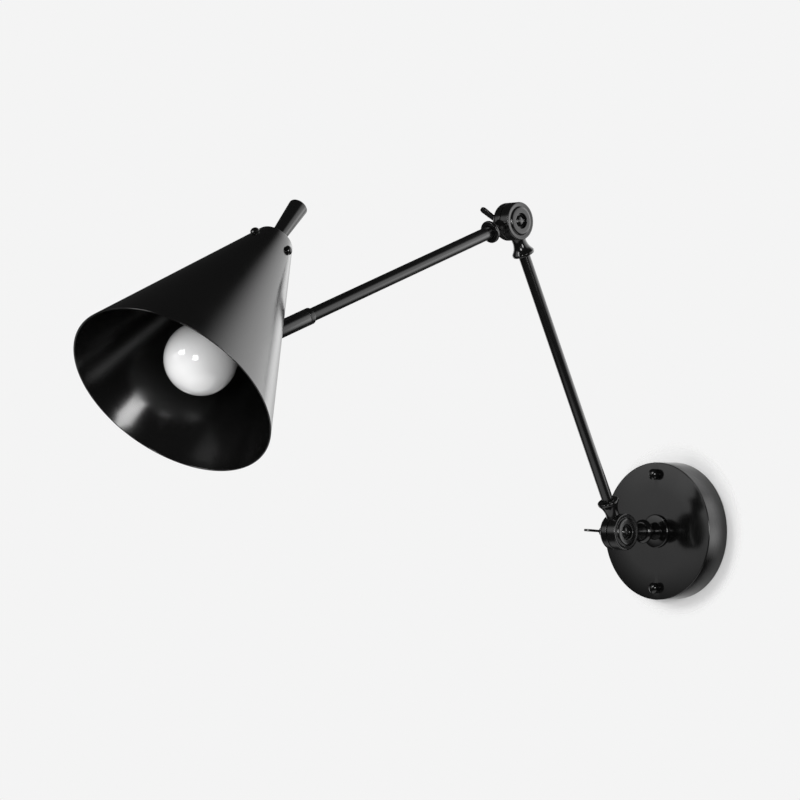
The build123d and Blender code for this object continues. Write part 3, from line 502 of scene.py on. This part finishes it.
def makeStem():
    shape = stemShape
    front, back, reach, flange = shape["collarFront"], shape["collarBack"], shape["reach"], shape["flange"]
    flangeFront = reach - shape["flangeThick"]
    middle = (front + back) / 2
    shoulder = shape["collar"] * shape["collarFace"]
    rise = shape["collar"] - shoulder
    half = (back - front) / 2
    ball = (rise ** 2 + half ** 2) / (2 * rise)
    spread = degrees(atan2(half, ball - rise))
    collar = arcPoints((shape["collar"] - ball, middle), ball, -spread, spread, 14)
    waist = (back + flangeFront) / 2 - shape["waistShift"]
    neck = curveThrough([(shape["neck"] * shape["neckStart"], back + shape["neckLift"]),
                         (shape["neck"] * shape["neckWaist"], waist),
                         (shape["neck"] * shape["neckFoot"], flangeFront)])
    rim = shape["flangeThick"] / 2
    foot = [(flange - rim, flangeFront)] + arcPoints((flange - rim, flangeFront + rim), rim, -90, 0, 6)[1:]
    bore, boreEdge, wireWay = shape["spigotBore"], shape["boreEdge"], shape["wireWay"]
    bores = [(flange, reach - fineEdge), (flange - fineEdge, reach), (shape["nippleBore"], reach),
             (shape["nippleBore"], shape["boreStep"]), (wireWay, shape["boreStep"]),
             (wireWay, shape["frontBoreEnd"]), (bore, shape["frontBoreEnd"]), (bore, front + boreEdge)]
    outline = [(bore, front + boreEdge), (bore + boreEdge, front)] + collar + neck + foot + bores
    return turnPiece("stem_reel", outline, roundSteps["large"])


fit(makeStem(), stemFrame, glossBlack, "wall_mount", "black_metal", "stem")
print("canopy and stem made")

# Knuckles: two castings each, with a seam between them, a ring face in front and a necked bead behind.
knuckleShape = {"drum": 16.75, "seam": 0.4, "half": 9.8, "backRound": 4.0, "rimRound": 0.8, "faceEdge": 0.5,
                "landDrop": 0.25, "boss": 12.7, "bossTop": 10.4, "bossRise": 1.2, "recess": 6.8,
                "recessDepth": 2.0, "recessTaper": 0.2, "floorRing": 0.4, "bore": 3.05, "room": 17.05,
                "neck": 6.2, "neckPlace": 19.0, "rootShare": 0.6, "rootSwell": 1.2, "coveSwell": 1.1,
                "coveShift": 0.8, "spigotWaist": 0.5, "spigotFoot": 1.6, "bead": 10.0, "beadFrom": 29.8,
                "beadTo": 31.4, "beadFace": 32.2, "beadSlope": 0.25, "beadIn": 0.8, "socketFrom": 25.2,
                "cutter": 30, "castGrain": 0.26, "castRounds": 5}


def drumOutline(front):
    shape = knuckleShape
    seam, half, drum, bore = shape["seam"], shape["half"], shape["drum"], shape["bore"]
    rounding = shape["rimRound"] if front else shape["backRound"]
    rim = arcPoints((drum - rounding, half - rounding), rounding, 0, 90, 10)
    outline = [(bore, seam), (drum - fineEdge, seam), (drum, seam + fineEdge)] + rim
    if front:
        land, top, floor = half - shape["landDrop"], half + shape["bossRise"], half - shape["recessDepth"]
        boss, bossTop, recess = shape["boss"], shape["bossTop"], shape["recess"]
        wide = boss - bossTop
        bulge = [(bossTop + wide * cos(turn), land + (top - land) * sin(turn))
                 for turn in (radians(90 * step / 8) for step in range(9))]
        outline += [(drum - rounding - shape["faceEdge"], half), (boss + brokenEdge, land)] + bulge
        outline += easeCorners([bulge[-1], (recess, top), (recess - shape["recessTaper"], floor),
                                (bore + shape["floorRing"], floor)], brokenEdge, 3)[1:]
        return outline + [(bore, floor), (bore, seam)]
    return outline + [(bore, half), (bore, seam)]


def neckOutline(tubeRadius):
    shape = knuckleShape
    root = shape["drum"] * shape["rootShare"]
    neck, bead, start, face = shape["neck"], shape["bead"], shape["beadFrom"], shape["beadFace"]
    middle = (shape["neckPlace"] + start) / 2 + shape["coveShift"]
    cove = curveThrough([(neck + shape["rootSwell"], root), (neck, shape["neckPlace"]),
                         (neck + shape["coveSwell"], middle), (bead, start)], 10)
    rim = [(bead, start), (bead, shape["beadTo"]), (bead - brokenEdge, face - shape["beadSlope"]),
           (bead - shape["beadIn"], face), (tubeRadius + brokenEdge, face), (tubeRadius, face - brokenEdge),
           (tubeRadius, shape["socketFrom"]), (0, shape["socketFrom"])]
    return [(0, root)] + cove[:-1] + rim


def spigotOutline():
    shape = knuckleShape
    root = shape["drum"] * shape["rootShare"]
    neck, end = shape["neck"], stemShape["collarFront"]
    swell = (end + shape["neckPlace"]) / 2
    cove = curveThrough([(neck + shape["rootSwell"], root), (neck, shape["neckPlace"]),
                         (neck + shape["spigotWaist"], swell), (neck + shape["spigotFoot"], end)], 10)
    return [(0, root)] + cove + rodOutline(stemShape["spigot"], end, end + stemShape["spigotLength"])[1:]


def makeCasting(name, front, neckPoints):
    shape = knuckleShape
    cutter = shape["cutter"]
    towards = turnY(90) if front else turnY(-90)
    neck = turnPiece(name, neckPoints, roundSteps["medium"])
    room = turnPiece("room", rodOutline(shape["room"], -cutter, shape["seam"]), roundSteps["medium"])
    combine(neck, setDown(room, towards), "DIFFERENCE")
    drum = turnPiece("drum", drumOutline(front), roundSteps["large"])
    combine(neck, setDown(drum, towards), "UNION")
    bore = turnPiece("bore", rodOutline(shape["bore"], -cutter, cutter), roundSteps["hole"])
    combine(neck, setDown(bore, towards), "DIFFERENCE")
    return softCast(neck, shape["castGrain"], shape["castRounds"])


lowerTube, upperTube = 5.2, 5.7        # outer radii
castings = [
    ("wall_knuckle_front", True, spigotOutline(), stemFrame, "wall_mount"),
    ("wall_knuckle_back", False, neckOutline(lowerTube + runningGap), lowerFrame, "lower_arm"),
    ("elbow_knuckle_front", True, neckOutline(lowerTube + runningGap), lowerEndFrame, "lower_arm"),
    ("elbow_knuckle_back", False, neckOutline(upperTube + runningGap), upperFrame, "upper_arm"),
]
for node, front, outline, place, body in castings:
    casting = makeCasting(node.replace("knuckle", "casting"), front, outline)
    fit(casting, place, castBlack, body, "black_casting", node)
print("knuckle castings made")

# Pivot screws: domed heads with one driver slot, level with the floor.
screwShape = {"radius": 3.0, "head": 5.0, "headEdge": 0.1, "shoulder": 0.9, "headHeight": 2.9, "end": -19.0,
              "slotLength": 12, "slotWidth": 1.3, "slotDepth": 1.3}


def makePivotScrew(name):
    shape = screwShape
    radius, head, edge, end = shape["radius"], shape["head"], shape["headEdge"], shape["end"]
    floor = knuckleShape["half"] - knuckleShape["recessDepth"]
    top = floor + shape["headHeight"]
    outline = [(0, end), (radius - brokenEdge, end), (radius, end + brokenEdge), (radius, floor),
               (head - edge, floor)]
    outline += domePoints(head, floor + shape["shoulder"], top, count=14)
    screw = turnPiece(name, outline, roundSteps["small"])
    slot = barAlong("slot", (shape["slotLength"], shape["slotWidth"], 2 * shape["slotDepth"]), (0, 0, top))
    combine(screw, slot, "DIFFERENCE")
    return softEdges(screw, edge)


for node, pivot, body in (("wall_pivot_screw", wallPivot, "wall_mount"),
                          ("elbow_pivot_screw", elbowPivot, "lower_arm")):
    place = armFrame(pivot, 0) @ turnY(90)
    fit(makePivotScrew(node + "_slotted"), place, castBlack, body, "black_casting", node)

# Wing nuts: domed hub with two thumb wings that lean back.
wingShape = {"base": 6.0, "foot": 0.01, "hub": 4.6, "hubFlare": 0.5, "flareShare": 0.6, "hubShare": 0.45,
             "length": 9.5, "dome": 2.5, "thick": 2.0, "reach": 19.0, "rootBack": 6.0, "tipBack": 13.5,
             "rootWidth": 5.0, "tipWidth": 7.0, "narrowing": 6, "bore": 3.05, "boreFrom": -1, "boreCap": 0.3,
             "gap": 0.3, "castGrain": 0.2, "castRounds": 5}


def makeWing():
    shape = wingShape
    root, tip, narrowing = shape["rootWidth"] / 2, shape["tipWidth"] / 2, shape["narrowing"]
    lean = degrees(atan2(shape["tipBack"] - shape["rootBack"], shape["reach"] - tip))
    length = (shape["reach"] - tip) / cos(radians(lean))
    rim = arcPoints((0, 0), root, 90 + narrowing, 270 - narrowing, 12)
    rim += arcPoints((length, 0), tip, narrowing - 90, 90 - narrowing, 24)
    side = -shape["thick"] / 2
    return slab([(along, side, across) for along, across in rim], (0, shape["thick"], 0)), lean


def makeWingNut(name):
    shape = wingShape
    base, hub, length = shape["base"], shape["hub"], shape["length"]
    shoulder = length * shape["hubShare"]
    flare = curveThrough([(base, shape["foot"]), (hub + shape["hubFlare"], shoulder * shape["flareShare"]),
                          (hub, shoulder)])
    dome = domePoints(hub, length, length + shape["dome"], count=12)
    nut = turnPiece(name, [(0, 0), (base, 0)] + flare[1:] + dome, roundSteps["small"])
    setDown(nut, turnY(-90))
    for turn in (0, 180):
        wing, lean = makeWing()
        setDown(wing, turnX(turn) @ move(x=-shape["rootBack"]) @ turnY(-90 - lean))
        combine(nut, wing, "UNION")
    bore = rodOutline(shape["bore"], shape["boreFrom"], length - shape["boreCap"])
    combine(nut, setDown(turnPiece("bore", bore, roundSteps["hole"]), turnY(-90)), "DIFFERENCE")
    return softCast(nut, shape["castGrain"], shape["castRounds"])


wingBase = move(x=-knuckleShape["half"] - wingShape["gap"])
for body, pivot, angle in (("wall_wing", wallPivot, layout["wallWingAngle"]),
                           ("elbow_wing", elbowPivot, layout["elbowWingAngle"])):
    place = armFrame(pivot, angle) @ wingBase
    fit(makeWingNut(body + "_thumb_nut"), place, castBlack, body, "black_casting", body + "_nut")
print("screws and wing nuts made")

# Arm tubes, stop collar and swivel sleeve.
tubeShape = {"wall": 1.2, "edge": 0.2, "collarFrom": 261.5, "collarTo": 267.8, "sleeveFrom": 268.1,
             "sleeveTo": 309.0, "sleeve": 7.15, "chamfer": 1.4, "journalEnd": 290.1, "chamber": 6.45,
             "chamberFrom": 287.4}


def tubePiece(name, outline):
    return turnPiece(name, easeCorners(outline, tubeShape["edge"], 3), roundSteps["medium"])


def makeTube(name, radius, end):
    start, inner = knuckleShape["socketFrom"], radius - tubeShape["wall"]
    return tubePiece(name, [(inner, start), (radius, start), (radius, end), (inner, end), (inner, start)])


lowerEnd = layout["lowerLength"] - knuckleShape["socketFrom"]
fit(makeTube("lower_arm_tube", lowerTube, lowerEnd), lowerFrame, armBlack, "lower_arm", "black_metal",
    "lower_tube")
fit(makeTube("upper_arm_tube", upperTube, tubeShape["journalEnd"]), upperFrame, armBlack, "upper_arm",
    "black_metal", "upper_tube")


def makeStopCollar():
    shape = tubeShape
    bore, chamfer = upperTube + runningGap, shape["chamfer"]
    start, end, radius = shape["collarFrom"], shape["collarTo"], shape["sleeve"]
    outline = [(bore, start), (radius - chamfer, start), (radius, start + chamfer), (radius, end),
               (bore, end), (bore, start)]
    return tubePiece("swivel_stop_collar", outline)


def makeSleeve():
    shape = tubeShape
    bore, chamber, step = upperTube + runningGap, shape["chamber"], shape["chamberFrom"]
    start, end, radius = shape["sleeveFrom"], shape["sleeveTo"], shape["sleeve"]
    outline = [(bore, start), (radius, start), (radius, end), (chamber, end), (chamber, step), (bore, step),
               (bore, start)]
    return tubePiece("swivel_outer_sleeve", outline)


fit(makeStopCollar(), upperFrame, armBlack, "upper_arm", "black_metal", "stop_collar")
fit(makeSleeve(), swivelFrame, armBlack, "head_swivel", "black_metal", "swivel_sleeve")
print("arms made")

# Shade: spun cone with a rounded top, drilled for the ball screws and handle, slotted for the arm.
shadeShape = {"rim": 88.9, "halfAngle": 21.78, "ballPlane": 168.0, "top": 15.0, "wall": 1.2, "topRound": 3.0,
              "topRing": 8, "levels": 26, "ballStart": 72.5, "ballCount": 4, "screwHole": 1.9,
              "drillFrom": -8, "drillTo": 3, "handleHole": 2.3, "slotHalf": 7.95, "slotPast": 20,
              "tiltLow": -8.0, "tiltHigh": 70.0}
slope = tan(radians(shadeShape["halfAngle"]))
lean = cos(radians(shadeShape["halfAngle"]))
wallAcross = shadeShape["wall"] / lean


def shadeRadius(level):
    return shadeShape["rim"] - (level + shadeShape["ballPlane"]) * slope


def ballPlaces():
    for index in range(shadeShape["ballCount"]):
        facing = turnZ(-shadeShape["ballStart"] - index * 360 / shadeShape["ballCount"]) @ turnX(-90)
        yield facing @ move(z=shadeRadius(0)) @ turnX(shadeShape["halfAngle"])


def makeArmSlot():
    shape = shadeShape
    half = shape["slotHalf"]
    pivot = turnX(layout["shadeLean"]) @ Vector((0, layout["pivotOffset"], -layout["pivotDrop"]))
    toWall = (shadeRadius(pivot.z) - pivot.y) * lean
    fromWall = shape["halfAngle"] - layout["shadeLean"]
    steep = radians(layout["headTilt"] + shape["tiltLow"] + fromWall)
    shallow = radians(layout["headTilt"] + shape["tiltHigh"] + fromWall)
    high = toWall / tan(steep) + half / sin(steep)
    low = toWall / tan(shallow) - half / sin(shallow)
    rim = arcPoints((0, high - half), half, 0, 180, 24) + arcPoints((0, low + half), half, 180, 360, 24)
    way = slab([(across, up, 0) for across, up in rim], (0, 0, toWall + shape["slotPast"]))
    turn = radians(shape["halfAngle"])
    upWall = Vector((0, -sin(turn), cos(turn)))
    outWall = Vector((0, cos(turn), sin(turn)))
    place = Matrix((upWall.cross(outWall), upWall, outWall)).transposed().to_4x4()
    place.translation = pivot
    return setDown(way, place)


def makeShade():
    shape = shadeShape
    rim, low, top, under = shape["rim"], -shape["ballPlane"], shape["top"], shape["top"] - shape["wall"]
    half, rounding, levels = shape["halfAngle"], shape["topRound"], shape["levels"]
    reach = rounding * tan(radians(90 - half) / 2)
    rise = top - low - reach * lean
    outside = [(shadeRadius(level), level)
               for level in (low + rise * step / levels for step in range(levels + 1))]
    start = outside[-1]
    centre = (start[0] - rounding * lean, start[1] - rounding * sin(radians(half)))
    outside += arcPoints(centre, rounding, half, 90, 10)[1:]
    inside = arcPoints(centre, rounding - shape["wall"], 90, half, 8)
    start = inside[-1][1]
    inside += [(shadeRadius(level) - wallAcross, level)
               for level in (start + (low - start) * step / levels for step in range(1, levels + 1))]
    lip = [(rim - wallAcross / 2 * (1 + cos(turn)), low - wallAcross / 3 * sin(turn))
           for turn in (radians(180 * step / 8) for step in range(1, 8))]
    face = [(shape["topRing"], top), (shape["handleHole"], top), (shape["handleHole"], under),
            (shape["topRing"], under)]
    shade = turnPiece("cone_shade", outside + face + inside + lip + [outside[0]], roundSteps["shade"])
    drill = rodOutline(shape["screwHole"], shape["drillFrom"], shape["drillTo"])
    for place in ballPlaces():
        combine(shade, setDown(turnPiece("drill", drill, roundSteps["drill"]), place), "DIFFERENCE")
    return combine(shade, makeArmSlot(), "DIFFERENCE")


fit(makeShade(), shadeFrame, shadeBlack, "lamp_head", "black_shade", "shade")

# Ball screws round the top of the shade: low domed heads that sit on the cone.
ballShape = {"radius": 4.0, "seat": 0.5, "side": 0.1, "shoulder": 1.1, "height": 3.9, "sunk": 0.4,
             "shank": 1.6, "shankEnd": -5.6}


def makeBallScrews():
    shape = ballShape
    shank, end, radius, shoulder = shape["shank"], shape["shankEnd"], shape["radius"], shape["shoulder"]
    outline = [(0, end), (shank - brokenEdge, end), (shank, end + brokenEdge), (shank, -shape["sunk"]),
               (radius - shape["seat"], -shape["sunk"]), (radius - shape["side"], shoulder / 2)]
    outline += domePoints(radius, shoulder, shape["height"], count=16)
    screws = [setDown(turnPiece("ball_screw", outline, roundSteps["small"]), place) for place in ballPlaces()]
    return joined("shade_ball_screws", screws)


fit(makeBallScrews(), shadeFrame, glossBlack, "lamp_head", "black_metal", "ball_screws")

# Handle on top of the shade.
handleShape = {"base": 6.2, "top": 8.4, "length": 43.0, "edge": 1.4, "edgeIn": 0.07, "bore": 2.05,
               "boreDepth": 12.3}


def makeHandle():
    shape = handleShape
    base, bore, low = shape["base"], shape["bore"], shadeShape["top"]
    high, inside = low + shape["length"], low + shape["boreDepth"]
    side = degrees(atan2(shape["top"] - base, shape["length"]))
    middle = (shape["top"] - shape["edge"] - shape["edgeIn"], high - shape["edge"])
    outline = [(0, inside), (bore, inside), (bore, low), (base - brokenEdge, low), (base, low + brokenEdge)]
    outline += arcPoints(middle, shape["edge"], -side, 90, 10) + [(0, high)]
    return turnPiece("turned_handle", outline, roundSteps["large"])


fit(makeHandle(), shadeFrame, handleBlack, "lamp_head", "black_metal", "handle")
print("shade and handle made")

# Socket cup with its collar for the shade, and the bulb.
cupShape = {"radius": 18.0, "wall": 1.4, "rimDrop": 80.0, "webDrop": 28.0, "web": 2.0, "neckTop": 9.0,
            "collarHeight": 23.0, "neckWall": 3.2, "shadeGap": 1.0, "edge": 0.5, "wireHole": 6.0,
            "entry": 4.0, "entryLength": 60}


def makeSocketCup():
    shape = cupShape
    gap, neckWall, wireHole = wallAcross + shape["shadeGap"], shape["neckWall"], shape["wireHole"]
    top, low, rim = shape["neckTop"], shape["neckTop"] - shape["collarHeight"], -shape["rimDrop"]
    highRadius, lowRadius = shadeRadius(top) - gap, shadeRadius(low) - gap
    web, radius, inner = -shape["webDrop"], shape["radius"], shape["radius"] - shape["wall"]
    under = web - shape["web"]
    outline = [(highRadius - neckWall, top), (highRadius, top), (lowRadius, low), (radius, web),
               (radius, rim), (inner, rim), (inner, under), (wireHole, under), (wireHole, web), (inner, web),
               (lowRadius - neckWall, low), (highRadius - neckWall, top)]
    cup = turnPiece("spun_socket_cup", easeCorners(outline, shape["edge"]), roundSteps["large"])
    entry = turnPiece("entry", rodOutline(shape["entry"], 0, shape["entryLength"]), roundSteps["hole"])
    return combine(cup, setDown(entry, move(z=(low + web) / 2) @ turnX(-90)), "DIFFERENCE")


fit(makeSocketCup(), lampFrame, shadeBlack, "lamp_head", "black_shade", "socket_cup")

bulbShape = {"radius": 30.0, "middle": -125.3, "wall": 1.0, "shoulder": 35.0, "neck": 13.1,
             "neckLevel": -74.3, "pull": 0.36, "neckSteps": 24, "inCap": 3.0, "capWall": 0.45, "capEdge": 0.2}


def globeOutline(inset):
    shape = bulbShape
    ball, pull, steps = shape["radius"] - inset, shape["pull"], shape["neckSteps"]
    turn = radians(shape["shoulder"])
    shoulder = Vector((ball * cos(turn), shape["middle"] + ball * sin(turn)))
    start = Vector((shape["neck"] - inset, shape["neckLevel"]))
    span = (start - shoulder).length
    fromNeck = start + Vector((0, -1)) * span * pull
    toBall = shoulder - Vector((sin(turn), -cos(turn))) * span * pull
    points = []
    for share in (step / steps for step in range(steps + 1)):
        point = (start * (1 - share) ** 3 + fromNeck * 3 * share * (1 - share) ** 2
                 + toBall * 3 * share ** 2 * (1 - share) + shoulder * share ** 3)
        points.append(tuple(point))
    return points + arcPoints((0, shape["middle"]), ball, shape["shoulder"], -90, 48)[1:-1]


def makeBulb():
    shape = bulbShape
    neck, wall, level = shape["neck"], shape["wall"], shape["neckLevel"]
    tip, collar, top = shape["middle"] - shape["radius"], neck - shape["capWall"], level + shape["inCap"]
    outline = [(0, tip + wall)] + globeOutline(wall)[::-1]
    outline += [(neck - wall, top), (collar, top), (collar, level + shape["capEdge"])]
    return turnPiece("opal_bulb", outline + globeOutline(0) + [(0, tip)], roundSteps["large"])


fit(makeBulb(), lampFrame, opalGlass, "lamp_head", "opal_glass", "bulb_glass")
print("socket cup and bulb made")

# Finishes for the CAD pieces that are shown as they are.
keptPieces = {
    "mounting_plate": zincSteel, "canopy_studs": zincSteel, "stud_nuts": zincSteel,
    "ground_screw": greenPaint, "stem_nipple": zincSteel, "stem_lock_washer": zincSteel,
    "stem_lock_nut": zincSteel,
    "wall_friction_washer": fibreSheet, "elbow_friction_washer": fibreSheet, "retaining_ring": zincSteel,
    "head_pivot_eye": castBlack, "head_bracket": castBlack, "bracket_rivets": zincSteel,
    "head_pivot_screw": castBlack, "head_pivot_nut": zincSteel, "lamp_socket": mouldedBlack,
    "socket_shell": brassMetal, "socket_contact": brassMetal, "socket_screws": zincSteel,
    "bulb_cap": capMetal, "bulb_insulator": mouldedBlack, "bulb_tip": capMetal, "handle_screw": zincSteel,
}
for node, finish in keptPieces.items():
    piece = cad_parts[node]
    piece.data.materials.clear()
    piece.data.materials.append(finish)
print("finishes on the hidden pieces")

# Camera at the photograph's angle.
cameraView = {"turn": 45.08, "rise": -1.30, "lens": 145.04, "sensor": 36, "near": 0.05, "far": 50,
              "place": (1.94466, -2.29935, 0.05354)}


def addCamera():
    turn, rise = radians(cameraView["turn"]), radians(cameraView["rise"])
    right = Vector((cos(turn), sin(turn), 0))
    back = Vector((sin(turn) * cos(rise), -cos(turn) * cos(rise), sin(rise)))
    up = back.cross(right)
    data = bpy.data.cameras.new("photographView")
    data.sensor_width = cameraView["sensor"]
    data.lens = cameraView["lens"]
    data.clip_start = cameraView["near"]
    data.clip_end = cameraView["far"]
    camera = bpy.data.objects.new("photographView", data)
    bpy.context.scene.collection.objects.link(camera)
    camera.matrix_world = Matrix((right, up, back)).transposed().to_4x4()
    camera.location = cameraView["place"]
    bpy.context.scene.camera = camera


addCamera()

# Soft studio light: the camera sees a pale backdrop, reflections see dark flags with bright cards among them,
# and matt surfaces get some fill besides. Three soft boxes light the pieces.
# Cards are (turn from the camera to its right, height in degrees, full width, faded width, brightness).
surround = {"backdrop": 0.905, "flags": 0.028, "fill": 0.42, "cards": [
    (87, 12, 6, 36, 1.9), (132, 16, 4, 40, 2.3), (164, 6, 4, 20, 0.9), (104, -10, 4, 22, 1.5),
    (-150, -6, 6, 22, 1.6), (-79, 12, 5, 21, 1.35)]}
boxesAim = (0, -0.35, 0.1)
softBoxes = [
    {"name": "mainBox", "towards": (-0.20, -0.92, 0.36), "distance": 2.2, "size": (0.7, 0.8), "power": 18},
    {"name": "sideBox", "towards": (0.49, -0.87, 0.03), "distance": 2.4, "size": (0.55, 0.5), "power": 18},
    {"name": "smallBox", "towards": (0.95, -0.29, 0.02), "distance": 2.2, "size": (0.6, 0.6), "power": 17},
]


def fromCamera(turn, height):
    around = radians(cameraView["turn"] - 90 + turn)
    return (cos(around) * cos(radians(height)), sin(around) * cos(radians(height)), sin(radians(height)))


def lightWorld():
    world = bpy.data.worlds.new("studioSurround")
    bpy.context.scene.world = world
    world.use_nodes = True
    tree = world.node_tree
    link = tree.links.new
    shown = tree.nodes["Background"]
    shown.inputs["Color"].default_value = grey(surround["backdrop"])
    shown.inputs["Strength"].default_value = 1
    where = addNode(tree, "ShaderNodeTexCoord")
    path = addNode(tree, "ShaderNodeLightPath")
    base = addNode(tree, "ShaderNodeMath", operation="MULTIPLY_ADD")
    base.inputs[1].default_value = surround["fill"]
    base.inputs[2].default_value = surround["flags"]
    link(path.outputs["Is Diffuse Ray"], base.inputs[0])
    brightness = base.outputs[0]
    for turn, height, full, faded, bright in surround["cards"]:
        facing = addNode(tree, "ShaderNodeVectorMath", operation="DOT_PRODUCT")
        facing.inputs[1].default_value = fromCamera(turn, height)
        card = addNode(tree, "ShaderNodeMapRange", interpolation_type="SMOOTHSTEP")
        card.inputs["From Min"].default_value = cos(radians(faded))
        card.inputs["From Max"].default_value = cos(radians(full))
        card.inputs["To Max"].default_value = bright
        total = addNode(tree, "ShaderNodeMath", operation="ADD")
        link(where.outputs["Generated"], facing.inputs[0])
        link(facing.outputs["Value"], card.inputs["Value"])
        link(card.outputs["Result"], total.inputs[0])
        link(brightness, total.inputs[1])
        brightness = total.outputs[0]
    lit = addNode(tree, "ShaderNodeBackground")
    lit.inputs["Strength"].default_value = 1
    seen = addNode(tree, "ShaderNodeMath", operation="MAXIMUM")
    choose = addNode(tree, "ShaderNodeMixShader")
    link(brightness, lit.inputs["Color"])
    link(path.outputs["Is Camera Ray"], seen.inputs[0])
    link(path.outputs["Is Transmission Ray"], seen.inputs[1])
    link(seen.outputs[0], choose.inputs["Fac"])
    link(lit.outputs["Background"], choose.inputs[1])
    link(shown.outputs["Background"], choose.inputs[2])
    link(choose.outputs["Shader"], tree.nodes["World Output"].inputs["Surface"])


def addSoftBoxes():
    for box in softBoxes:
        data = bpy.data.lights.new(box["name"], "AREA")
        data.shape = "RECTANGLE"
        data.size, data.size_y = box["size"]
        data.energy = box["power"]
        lamp = bpy.data.objects.new(box["name"], data)
        bpy.context.scene.collection.objects.link(lamp)
        towards = Vector(box["towards"]).normalized()
        lamp.location = Vector(boxesAim) + towards * box["distance"]
        lamp.rotation_euler = towards.to_track_quat("Z", "Y").to_euler()


# Plain pale floor, and the patch of wall that takes the canopy's shadow. Both fade out at their edges.
# Lift is brightness that the camera and reflections see, but that lights nothing.
stage = {"floor": {"centre": (0, -0.35, -1.25), "radius": 1.6, "fade": (0.9, 1.5), "tone": 0.5, "lift": 0.38},
         "wall": {"centre": (0, 0.0006, 0), "radius": 0.1, "fade": (0.066, 0.084), "tone": 0.85, "lift": 0.0}}


def stageFinish(name, shape):
    finish = bpy.data.materials.new(name)
    finish.use_nodes = True
    tree = finish.node_tree
    tree.nodes.remove(tree.nodes["Principled BSDF"])
    link = tree.links.new
    painted = addNode(tree, "ShaderNodeBsdfDiffuse")
    painted.inputs["Color"].default_value = grey(shape["tone"])
    lifted = addNode(tree, "ShaderNodeEmission")
    lifted.inputs["Color"].default_value = grey(shape["lift"])
    pale = addNode(tree, "ShaderNodeAddShader")
    path = addNode(tree, "ShaderNodeLightPath")
    seen = addNode(tree, "ShaderNodeMath", operation="MAXIMUM")
    seenToo = addNode(tree, "ShaderNodeMath", operation="MAXIMUM")
    plain = addNode(tree, "ShaderNodeMixShader")
    where = addNode(tree, "ShaderNodeTexCoord")
    away = addNode(tree, "ShaderNodeVectorMath", operation="DISTANCE")
    away.inputs[1].default_value = shape["centre"]
    gone = addNode(tree, "ShaderNodeMapRange", interpolation_type="SMOOTHSTEP")
    gone.inputs["From Min"].default_value, gone.inputs["From Max"].default_value = shape["fade"]
    side = addNode(tree, "ShaderNodeNewGeometry")
    hidden = addNode(tree, "ShaderNodeMath", operation="MAXIMUM")
    clear = addNode(tree, "ShaderNodeBsdfTransparent")
    fade = addNode(tree, "ShaderNodeMixShader")
    link(painted.outputs["BSDF"], pale.inputs[0])
    link(lifted.outputs["Emission"], pale.inputs[1])
    link(path.outputs["Is Camera Ray"], seen.inputs[0])
    link(path.outputs["Is Glossy Ray"], seen.inputs[1])
    link(seen.outputs[0], seenToo.inputs[0])
    link(path.outputs["Is Transmission Ray"], seenToo.inputs[1])
    link(seenToo.outputs[0], plain.inputs["Fac"])
    link(painted.outputs["BSDF"], plain.inputs[1])
    link(pale.outputs["Shader"], plain.inputs[2])
    link(where.outputs["Object"], away.inputs[0])
    link(away.outputs["Value"], gone.inputs["Value"])
    link(gone.outputs["Result"], hidden.inputs[0])
    link(side.outputs["Backfacing"], hidden.inputs[1])
    link(hidden.outputs[0], fade.inputs["Fac"])
    link(plain.outputs["Shader"], fade.inputs[1])
    link(clear.outputs["BSDF"], fade.inputs[2])
    link(fade.outputs["Shader"], tree.nodes["Material Output"].inputs["Surface"])
    return finish


def addStage(name, shape, turn):
    deselectAll()
    bpy.ops.mesh.primitive_circle_add(vertices=roundSteps["medium"], radius=shape["radius"], fill_type="NGON")
    disc = setDown(bpy.context.object, Matrix.Translation(shape["centre"]) @ turn)
    disc.name = disc.data.name = name
    disc.data.materials.append(stageFinish(name, shape))


addStage("paleFloor", stage["floor"], Matrix.Identity(4))
addStage("wallPatch", stage["wall"], turnX(90))
lightWorld()
addSoftBoxes()
bpy.context.scene.view_settings.view_transform = "Standard"
print("camera and light ready")
